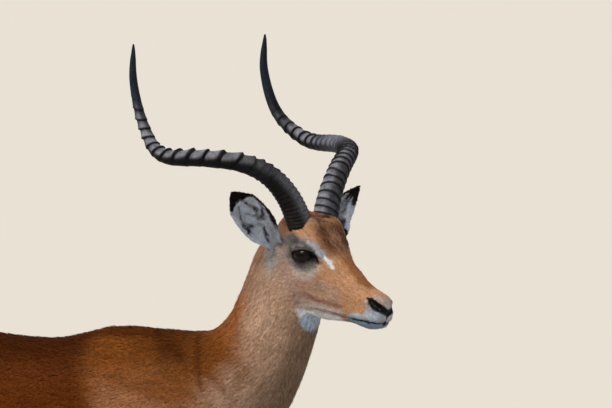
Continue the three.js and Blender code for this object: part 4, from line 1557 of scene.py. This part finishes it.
def paint_horn(data, side, t, shown, tones):
    """Worn ridge flats with painted light on upward faces, painted shade in grooves, underneath and on
    forward faces, painted highlights at the far bend and the near root's front edge, a dark near root with
    brownish rings, and a smooth dark tip.
    """
    p, saw, way = points_of(data), get_value(data, "ridge"), normals_of(data)
    top, fore = way[:, 2], way @ horn_ahead()
    right, left = side < 0, side > 0
    lower = fall(t, 0.2, 0.34)
    colours = all_over(tones.horn, p)
    worn = lattice(np.column_stack([p @ [0.5, 0.5, 0.2], t * 130, 0 * t]), 4, 24)
    flat = rise(saw, 0.16, 0.34) * (0.6 + 0.4 * rise(saw, 1.0, 0.5))
    # painted light: flats between ridges are lighter on upward faces, with wear that varies at random; the
    # near horn's lower part gets less of it
    light = flat * shown * (0.7 + 0.6 * (worn - 0.3)) * rise(top, -0.3, 0.45)
    light = light * (1 - 0.45 * right * fall(t, 0.34, 0.42))
    paint(colours, tones.horn_worn_and_lit, light * (1 - lower * (0.9 if right else 0.1)))
    # painted shade under the horn
    under = rise(-top, -0.25, 0.3) * fall(t, 0.62, 0.72) * (1 - lower)
    paint(colours, tones.horn_dark, under * 0.9)
    # painted shade on forward faces of the upper horn and of the far horn's root
    paint(colours, tones.horn_dark, rise(fore, 0.05, 0.6) * (rise(t, 0.6, 0.72) + left * lower) * 0.75)
    # painted shade in the grooves between ridges, uneven at random
    groove = fall(saw, 0.1, 0.24) + rise(saw, 0.965, 1.0)
    groove = groove * (0.85 - 0.35 * lower - 0.35 * rise(t, 0.45, 0.58))
    paint(colours, tones.horn_dark, groove * shown * (0.5 + 0.8 * lattice(p, 15, 26)))
    paint(colours, tones.horn_tip, rise(t, 0.74, 0.86) * 0.8)
    # the near horn's lower part much darker, except toward its front edge
    paint(colours, tones.horn_dark, lower * (0.9 - 0.7 * rise(fore, 0.3, 0.95) if right else 0.0))
    paint(colours, tones.horn_dark, fall(t, 0.0, 0.06) * 0.5)
    # painted highlight along the near horn's lower front edge
    paint(colours, tones.horn_worn_and_lit, lower * rise(fore, 0.6, 0.97) * right * 0.33)
    root_rings = lower * flat * right * (1 - 0.75 * rise(t, 0.06, 0.15))
    paint(colours, tones.horn_ring, root_rings * lattice(p, 12, 28) * 0.45)
    # painted highlight: bluish light on the far horn's bend, strongest on its upward faces
    bend = bump((t - 0.45,), (0.07,)) * left
    paint(colours, tones.horn_bend_highlight, bend * (0.25 + 0.6 * rise(top, -0.2, 0.5)))
    colours *= (0.62 + 0.4 * lattice(p * [1, 1, 0.4], 7, 21) + 0.36 * lattice(p, 3.2, 27))[:, None]
    set_paint(data, np.clip(colours, 0, 1))


def build_horn(name, side, sizes, tones, finish, tree):
    """One horn: round rings along its line, ridges raised on them, and its colours."""
    middle, share, length = horn_line(side, HORN_RINGS)
    ways = np.gradient(middle, axis=0)
    ways /= np.linalg.norm(ways, axis=1)[:, None]
    across = np.array([1.0, 0, 0])
    turn = np.linspace(0, 2 * math.pi, HORN_SIDES, endpoint=False)
    rings, out = [], []
    for centre, way, radius in zip(middle, ways, np.interp(share, *np.array(HORN_RADIUS).T)):
        across = unit(across - way * (across @ way))
        reach = 1.06 * np.outer(np.cos(turn), across) + 0.95 * np.outer(np.sin(turn), np.cross(way, across))
        rings.append(centre + radius * reach)
        out.append(reach)
    made = mesh_object(f"ridged_horn_{name}", *loft(rings))
    outward(made.data)
    p = points_of(made.data)
    t = over_rings(share)
    fading = fall(share, RIDGES_END[name] - 0.14, RIDGES_END[name])
    turns = np.cumsum(length / HORN_RINGS / np.interp(share, *np.array(RIDGE_GAP[name]).T))
    ridges = turns[np.searchsorted(share, RIDGES_END[name])]
    uneven = 0.45 + 0.6 * (side > 0) * fall(t, 0.25, 0.4)
    set_value(made.data, "turns", (over_rings(turns) + uneven * (lattice(p, 34, 22) - 0.5)) / ridges)
    strength = fading * (0.3 + 0.7 * rise(share, 0.12, 0.34)) * (1 - 0.4 * rise(share, 0.5, 0.75))
    out = np.concatenate([*out, np.zeros((2, 3))])
    upright = rise(t, 0.58, 0.7)
    front = (1 - upright) * (0.15 + 0.85 * rise(out[:, 2], -0.3, 0.5))
    front = front + upright * (0.4 + 0.6 * rise(-out @ horn_ahead(), -0.5, 0.5))
    front = np.maximum(front, fall(t, 0.2, 0.32) * 0.7)
    set_value(made.data, "ridged", over_rings(strength) * front * (0.75 + 0.5 * lattice(p, 18, 23)))
    set_value(made.data, "tilt", np.concatenate([np.tile(np.cos(turn - 0.9), HORN_RINGS), [0, 0]]))
    run_tree(made, tree, {"Ridges": float(ridges), "Height": sizes.ridge_height, "Lean": sizes.ridge_lean,
                          "Finish": finish})
    paint_horn(made.data, side, t, over_rings(fading), tones)
    for layer in ("turns", "ridged", "tilt", "ridge"):
        made.data.attributes.remove(made.data.attributes[layer])
    made.data.shade_smooth()
    show(made, "horn", f"horn_{name}")


# rings of the eyeball's mesh from front to rear, and corners of each
EYE_RINGS = 44
EYE_SIDES = 56


def build_eye(name, side, tones, finish):
    """One eyeball with a bulging front, a dark brown iris and a long level pupil."""
    centre, look, level, up = eye_frame(side)
    angle = np.linspace(0.02, math.pi - 0.02, EYE_RINGS)[:, None]
    turn = np.linspace(0, 2 * math.pi, EYE_SIDES, endpoint=False)[None]
    swell = EYE_RADIUS * (1 + 0.035 * np.exp(-(angle / 0.6) ** 2)) - 0.15
    x, y = np.sin(angle) * np.cos(turn), np.sin(angle) * np.sin(turn)
    z = np.cos(angle) + 0 * turn
    rings = centre + swell[..., None] * (x[..., None] * level + y[..., None] * up + z[..., None] * look)
    made = mesh_object(f"wet_eye_{name}", *loft(rings))
    outward(made.data)
    p = points_of(made.data)
    _, e1, e2, facing = eye_parts(p, side)
    colours = all_over(tones.eye_rim, p)
    around = np.hypot(e1, e2)
    paint(colours, tones.iris, fall(around, 0.78, 0.86) * (facing > 0))
    paint(colours, tones.pupil, fall((np.abs(e1) / 0.42) ** 2.4 + (np.abs(e2) / 0.2) ** 2.4, 0.7, 1.3))
    set_paint(made.data, colours)
    made.data.materials.append(finish)
    show(made, "eye", f"eye_{name}")


# height, half length, half width, how far forward
CLAW = [[0, 29.0, 9.2, 4], [1.5, 30.2, 9.7, 4], [6, 30.3, 9.8, 3.8], [14, 28, 9.8, 1.6],
        [24, 25, 9.7, -1.4], [34, 22, 9.6, -4.4], [44.6, 19.5, 9.4, -7]]
CLAW_SIDES = 40
CLAW_HEIGHTS = [0, 0.6, *np.linspace(CLAW[1][0], CLAW[-1][0], 16)]
# from the rear of its CAD box and from its side by the other claw to the claw's middle
CLAW_AHEAD = 26.5
CLAW_ASIDE = 9.8


def build_claws(foot, tones, finish):
    """The inner and outer claw of one foot, pointed ahead and flat where they face each other."""
    boxes = {part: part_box(f"claw_{foot}_{part}") for part in ("inner", "outer")}
    for part, (low, high) in boxes.items():
        other = boxes["outer" if part == "inner" else "inner"][0]
        toward = 1 if other.y > low.y else -1
        x = to_plan(low)[0] + CLAW_AHEAD
        y = to_plan(low if toward > 0 else high)[1] + toward * CLAW_ASIDE
        turn = np.linspace(0, 2 * math.pi, CLAW_SIDES, endpoint=False)
        ahead, across = np.cos(turn), np.sin(turn)
        point = 1 + 0.1 * np.clip(ahead, 0, 1) ** 3
        narrow = 1 - 0.42 * np.clip(ahead, 0, 1) ** 4
        flat = np.where(across * toward > 0, 0.8, 1.0)
        rings = []
        for height in CLAW_HEIGHTS:
            length, width, shift = along(CLAW, height)
            forward, out = x + shift + length * point * ahead, y + width * across * narrow * flat
            rings.append(np.stack([forward, out, height + 0 * turn], 1))
        made = mesh_object(f"hoof_{foot}_{part}", *loft(rings))
        outward(made.data)
        p = points_of(made.data)
        mottle = 0.75 + 0.5 * lattice(p * [0.4, 0.4, 1.5], 5, 31)
        set_paint(made.data, all_over(tones.claw, p) * mottle[:, None])
        made.data.materials.append(finish)
        show(made, "claw", f"claw_{foot}_{part}")


# ---- Settings ----
def swatch(label, hex_colour, text):
    """A setting for one colour."""
    return bpy.props.FloatVectorProperty(name=label, description=text, default=linear(hex_colour),
                                         subtype="COLOR", size=3, min=0, max=1)


def length_of(label, metres, text):
    """A setting for one length."""
    return bpy.props.FloatProperty(name=label, description=text, unit="LENGTH", default=metres, min=0,
                                   precision=4)


def share_of(label, number, text):
    """A setting for a plain number."""
    return bpy.props.FloatProperty(name=label, description=text, default=number, min=0)


class ImpalaColours(bpy.types.PropertyGroup):
    spine: swatch("Spine", "#3E1B02", "Darkest line along the back")
    saddle: swatch("Saddle", "#562907", "Red-brown of the back")
    # painted shade in the hollow ahead of the shoulder blade and in the neck's fold
    hollow: swatch("Hollow", "#331402", "Shaded hair ahead of the shoulder blade")
    withers: swatch("Withers", "#6A3B12", "Brown of withers and shoulder top")
    flush: swatch("Shoulder patch", "#8C5F42", "Lighter patch behind the shoulder blade")
    shoulder: swatch("Shoulder", "#744624", "Brown between back and flank")
    flank: swatch("Flank", "#A47048", "Fawn of the sides")
    white: swatch("White", "#CDD1D6", "Belly, throat, lips and marks of the face")
    stripe: swatch("Stripe", "#E4E4E8", "Bright stripe ahead of the eye")
    # painted shade under jaw and throat patch; also the muzzle's bluish mottling
    bluish_white_and_shade: swatch("Shaded white", "#9CABC0", "Painted bluish shade under the jaw and on the throat patch, and bluish mottling on the muzzle")
    lash_grey: swatch("Lid grey", "#A3A5AC", "Light grey over the upper lid")
    brow_grey: swatch("Brow grey", "#999EA9", "Bluish grey of the brow's stripe")
    mark_grey: swatch("Dark grey mark", "#66666A", "Smoky grey over and under the eye")
    # painted shade below the mouth
    chin: swatch("Chin", "#74869B", "Painted bluish shade below the mouth, on the lower lip and chin")
    cheek_shade: swatch("Cheek shade", "#7C6C62", "Shade behind the cheek")
    neck: swatch("Neck", "#AE8F79", "Pinkish fawn of the neck's sides")
    nape: swatch("Nape", "#925A33", "Orange-brown along the nape")
    # painted shade on the front of the neck
    throat: swatch("Throat", "#705C4D", "Painted shade on the front of the neck")
    leg: swatch("Leg", "#B88B66", "Fawn of the legs")
    leg_pale: swatch("Lower leg", "#C9A98A", "Paler fawn above the feet")
    face: swatch("Face", "#AC8262", "Orange-tan of the face")
    cheek: swatch("Cheek", "#A4887A", "Pinkish tan of the cheek")
    nose_ridge: swatch("Nose ridge", "#835331", "Brown along the top of the nose")
    brow: swatch("Brow", "#644331", "Brown of the forehead")
    crest: swatch("Crest", "#8E583A", "Orange hair behind the horns")
    pale: swatch("Pale mark", "#B5ABA3", "Cream round and under the eye")
    grey: swatch("Grey mark", "#666464", "Smoky grey round the eye")
    lid_shade: swatch("Lid shade", "#403F41", "Dark smoky grey close to the lids")
    # painted shade in the cheek's crease
    crease: swatch("Crease", "#7B543E", "Painted shade in the cheek's crease; also a line along the jaw's edge")
    jaw: swatch("Jaw", "#8F6547", "Brown of the lower lip's corner")
    black: swatch("Black", "#1C1715", "Ear tips, stripes and fetlock tufts")
    nose: swatch("Nose", "#0A0A0C", "Bare skin of the nose")
    lid: swatch("Lid", "#14100F", "Bare rims of the eyelids")
    ear_back: swatch("Ear back", "#A8713F", "Back of the ear")
    ear_white: swatch("Ear white", "#B7C0D0", "Long hair in the ear")
    # dark marks and painted shade in the folds of the ear's cup
    ear_fold: swatch("Ear fold", "#2B2526", "Dark marks and painted shade in the ear's folds")
    horn: swatch("Horn", "#26272D", "Body of the horn")
    # worn ridge flats with painted light on upward faces, and a painted highlight on the near root
    horn_worn_and_lit: swatch("Horn ridge", "#7B7C85", "Worn ridge flats, lighter on upward faces by painted light")
    horn_ring: swatch("Horn ring", "#3E3B37", "Brownish rings at the horn's root")
    # painted shade in grooves, underneath and on forward faces; also the darker root
    horn_dark: swatch("Horn groove", "#070708", "Painted shade in grooves, underneath and on forward faces; darker root and near base")
    horn_tip: swatch("Horn tip", "#1A212C", "Smooth tip of the horn")
    # painted highlight on the far horn's bend
    horn_bend_highlight: swatch("Horn sheen", "#696E78", "Painted bluish highlight at the far horn's bend")
    eye_rim: swatch("Eye rim", "#120C0A", "Dark rim of the eye")
    iris: swatch("Iris", "#120B08", "Deep brown iris")
    pupil: swatch("Pupil", "#040405", "Level pupil")
    claw: swatch("Claw", "#201C1A", "Black horn of the feet")
    floor: swatch("Floor", "#CFCBC2", "Plain pale floor")
    sky: swatch("Studio light", "#E6EDF6", "Light from all round")
    lamp: swatch("Lamp", "#FFF6EA", "Warm light from ahead")


class ImpalaSizes(bpy.types.PropertyGroup):
    skin_cell: length_of("Skin cell", 0.0065, "Grid step the skin starts from")
    tuft_width: length_of("Tuft width", 0.0044, "Full width of a tuft, of which each part takes a share")
    ridge_height: length_of("Ridge height", 0.0038, "Height of the horn's ridges")
    ridge_lean: share_of("Ridge lean", 0.3, "How much the ridges slant")
    tufts: share_of("Tufts", 100000, "Tufts per square metre where dense is 1")
    lift: share_of("Lift", 0.2, "How far tufts stand off the skin")
    straying: share_of("Straying", 0.1, "How unevenly tufts lie")
    camera_lens: share_of("Lens", 600, "Camera lens in millimetres")
    sky_strength: share_of("Strength of the sky", 0.5, "Strength of the light from all round")
    lamp_strength: share_of("Strength of the lamp", 3.5, "Strength of the light from ahead")
    frame_width: length_of("Frame width", 1.055, "Width seen at the head")
    floor_size: length_of("Floor size", 400, "Side of the floor")


# ---- Operators ----
# the point of the plan in the middle of the view, and the way from it to the camera
CAMERA_AIM = np.array([455.2, 155.5, 1107.8])
CAMERA_AZIMUTH = math.radians(27)
CAMERA_HEIGHT = math.radians(5)
CAMERA_SENSOR = 36.0
CAMERA_REACH = 500
LAMP_FROM = Vector((-0.15, -0.8, 1.2))
LAMP_WIDTH = math.radians(35)
PAPER_ROUGHNESS = 0.9
FINISHES = {}


class IMPALA_OT_stage(bpy.types.Operator):
    """Makes the camera, floor and light"""
    bl_idname, bl_label = "impala.stage", "Stage"

    def execute(self, context):
        sizes, tones = context.scene.impala_sizes, context.scene.impala_colours
        view = bpy.data.cameras.new("camera")
        view.lens, view.sensor_width, view.clip_end = sizes.camera_lens, CAMERA_SENSOR, CAMERA_REACH
        camera = add_object("camera", view)
        context.scene.camera = camera
        back = Vector((math.sin(CAMERA_AZIMUTH), -math.cos(CAMERA_AZIMUTH), 0)) * math.cos(CAMERA_HEIGHT)
        back.z = math.sin(CAMERA_HEIGHT)
        away = back * sizes.frame_width * sizes.camera_lens / CAMERA_SENSOR
        camera.location = Vector(to_frame(CAMERA_AIM)) + away
        camera.rotation_euler = back.to_track_quat("Z", "Y").to_euler()
        half = sizes.floor_size / 2
        data = bpy.data.meshes.new("floor")
        corners = [(-half, -half, 0), (half, -half, 0), (half, half, 0), (-half, half, 0)]
        data.from_pydata(corners, [], [(0, 1, 2, 3)])
        floor = add_object("floor", data)
        paper = bpy.data.materials.new("plain pale floor")
        paper.use_nodes = True
        shader = paper.node_tree.nodes["Principled BSDF"]
        shader.inputs["Base Color"].default_value = (*tones.floor, 1)
        shader.inputs["Roughness"].default_value = PAPER_ROUGHNESS
        data.materials.append(paper)
        world = bpy.data.worlds.new("studio")
        context.scene.world = world
        world.use_nodes = True
        sky = world.node_tree.nodes["Background"]
        sky.inputs["Color"].default_value = (*tones.sky, 1)
        sky.inputs["Strength"].default_value = sizes.sky_strength
        lamp = bpy.data.lights.new("key", "SUN")
        lamp.energy, lamp.angle, lamp.color = sizes.lamp_strength, LAMP_WIDTH, tones.lamp
        key = add_object("key", lamp)
        key.rotation_euler = LAMP_FROM.to_track_quat("Z", "Y").to_euler()
        context.scene.view_settings.view_transform = "Standard"
        return {"FINISHED"}


# parts, and the share that their tufts take of the full width
TUFT_WIDTHS = [[["trunk"], 0.78], [["neck"], 0.6], [["head", "ear_right", "ear_left"], 0.5],
               [FEET, 0.72], [["tail"], 0.8]]


class IMPALA_OT_skin(bpy.types.Operator):
    """Builds the one skin of head, ears, neck, trunk, legs and tail"""
    bl_idname, bl_label = "impala.skin", "Skin"

    def execute(self, context):
        sizes, tones = context.scene.impala_sizes, context.scene.impala_colours
        skin = build_skin(sizes.skin_cell * 1000)
        ears = []
        for name, side in SIDES.items():
            ear = mesh_object(f"cup_{name}", *loft(ear_rings(side)))
            outward(ear.data)
            ears.append(ear)
        join_parts(skin, ears)
        level_feet(skin)
        data = skin.data
        p = points_of(data)
        part = part_of(p)
        way, length, dense = coat_lie(p, part, normals_of(data))
        kinds = [lies_on(part, *names) for names, _ in TUFT_WIDTHS]
        wide = np.select(kinds, [width for _, width in TUFT_WIDTHS], 1.0)
        set_value(data, "lie", way, "FLOAT_VECTOR")
        set_value(data, "hair", length / 1000)
        set_value(data, "dense", dense)
        set_value(data, "wide", wide)
        set_value(data, "part", part)
        set_paint(data, coat_colour(p, part, tones))
        data.materials.clear()
        data.materials.append(FINISHES["hide"])
        data.materials.append(FINISHES["nose"])
        bare = (dense == 0) & lies_on(part, "head", "neck") & (nostril_distance(p)[0] < 9)
        inked = [int(all(bare[v] for v in face.vertices)) for face in data.polygons]
        data.polygons.foreach_set("material_index", inked)
        data.shade_smooth()
        show(skin, "coat_trunk", "head", "neck", "trunk", "tail", "ear_right", "ear_left",
             *[f"leg_{end}_{side}" for end in ("fore", "hind") for side in SIDES])
        return {"FINISHED"}


class IMPALA_OT_horns(bpy.types.Operator):
    """Builds both horns with their ridges"""
    bl_idname, bl_label = "impala.horns", "Horns"

    def execute(self, context):
        sizes, tones = context.scene.impala_sizes, context.scene.impala_colours
        tree = horn_tree()
        for name, side in SIDES.items():
            build_horn(name, side, sizes, tones, FINISHES["horn"], tree)
        return {"FINISHED"}


class IMPALA_OT_eyes(bpy.types.Operator):
    """Builds both eyeballs"""
    bl_idname, bl_label = "impala.eyes", "Eyes"

    def execute(self, context):
        for name, side in SIDES.items():
            build_eye(name, side, context.scene.impala_colours, FINISHES["eye"])
        return {"FINISHED"}


class IMPALA_OT_claws(bpy.types.Operator):
    """Builds the two claws of each foot"""
    bl_idname, bl_label = "impala.claws", "Claws"

    def execute(self, context):
        for foot in FEET:
            build_claws(foot, context.scene.impala_colours, FINISHES["claw"])
        return {"FINISHED"}


# name, parts, side or 0 for both, slot, and -1 or 1 for the trunk's rear or front half
COATS = [
    ["coat_trunk_right_hind", ["trunk"], -1, "coat_trunk", -1],
    ["coat_trunk_right_fore", ["trunk"], -1, "coat_trunk", 1],
    ["coat_trunk_left_hind", ["trunk"], 1, "coat_trunk", -1],
    ["coat_trunk_left_fore", ["trunk"], 1, "coat_trunk", 1],
    ["coat_neck_right", ["neck"], -1, "coat_neck", 0],
    ["coat_neck_left", ["neck"], 1, "coat_neck", 0],
    ["coat_head_right", ["head"], -1, "coat_face", 0],
    ["coat_head_left", ["head"], 1, "coat_face", 0],
    ["coat_ears", ["ear_right", "ear_left"], 0, "coat_ear", 0],
    ["coat_legs_fore", FEET[:2], 0, "coat_leg", 0],
    ["coat_legs_hind", FEET[2:], 0, "coat_leg", 0],
    ["coat_tail", ["tail"], 0, "coat_tail", 0],
]
TRUNK_HALVES_MEET = -40


class IMPALA_OT_coat(bpy.types.Operator):
    """Covers the skin with tufts that follow the lie of the coat"""
    bl_idname, bl_label = "impala.coat", "Coat"

    def execute(self, context):
        sizes, tones = context.scene.impala_sizes, context.scene.impala_colours
        skin, tuft, tree = bpy.data.objects["skin"], build_tuft(), coat_tree()
        p = points_of(skin.data)
        part = get_value(skin.data, "part")
        side = np.where(lies_on(part, "head"), face_place(p)[1], p[:, 1])
        first = np.array([face.vertices[0] for face in skin.data.polygons])
        part, side, ahead = part[first], side[first], p[first, 0] - TRUNK_HALVES_MEET
        given = {"Tuft": tuft, "Tufts per square metre": sizes.tufts, "Width": sizes.tuft_width,
                 "Lift": sizes.lift, "Straying": sizes.straying, "Finish": FINISHES["hair"]}
        for seed, (name, parts, wanted, slot, half) in enumerate(COATS, 1):
            keep = lies_on(part, *parts)
            if wanted:
                keep &= (side >= 0) == (wanted > 0)
            if half:
                keep &= (ahead >= 0) == (half > 0)
            piece = part_mesh(skin, name, keep)
            run_tree(piece, tree, {**given, "Seed": seed})
            finish_coat(piece, tuft, tones)
            show(piece, slot)
        bpy.data.objects.remove(tuft)
        return {"FINISHED"}


class IMPALA_PT_panel(bpy.types.Panel):
    bl_idname, bl_label = "IMPALA_PT_panel", "Impala ram"
    bl_space_type, bl_region_type, bl_category = "VIEW_3D", "UI", "Impala"

    def draw(self, context):
        for group in (context.scene.impala_sizes, context.scene.impala_colours):
            for name in group.__annotations__:
                self.layout.prop(group, name)
        for kind in OPERATORS:
            self.layout.operator(kind.bl_idname)


OPERATORS = [IMPALA_OT_stage, IMPALA_OT_skin, IMPALA_OT_horns, IMPALA_OT_eyes, IMPALA_OT_claws,
             IMPALA_OT_coat]
CLASSES = [ImpalaColours, ImpalaSizes, *OPERATORS, IMPALA_PT_panel]


def register():
    for kind in CLASSES:
        bpy.utils.register_class(kind)
    bpy.types.Scene.impala_colours = bpy.props.PointerProperty(type=ImpalaColours)
    bpy.types.Scene.impala_sizes = bpy.props.PointerProperty(type=ImpalaSizes)
    FINISHES.update(build_finishes())


def unregister():
    del bpy.types.Scene.impala_sizes
    del bpy.types.Scene.impala_colours
    for kind in reversed(CLASSES):
        bpy.utils.unregister_class(kind)


def write_size():
    """Updates the view layer."""
    bpy.context.view_layer.update()


def main():
    register()
    bpy.ops.impala.stage()
    bpy.ops.impala.skin()
    bpy.ops.impala.horns()
    bpy.ops.impala.eyes()
    bpy.ops.impala.claws()
    bpy.ops.impala.coat()
    write_size()


if __name__ == "__main__":
    main()
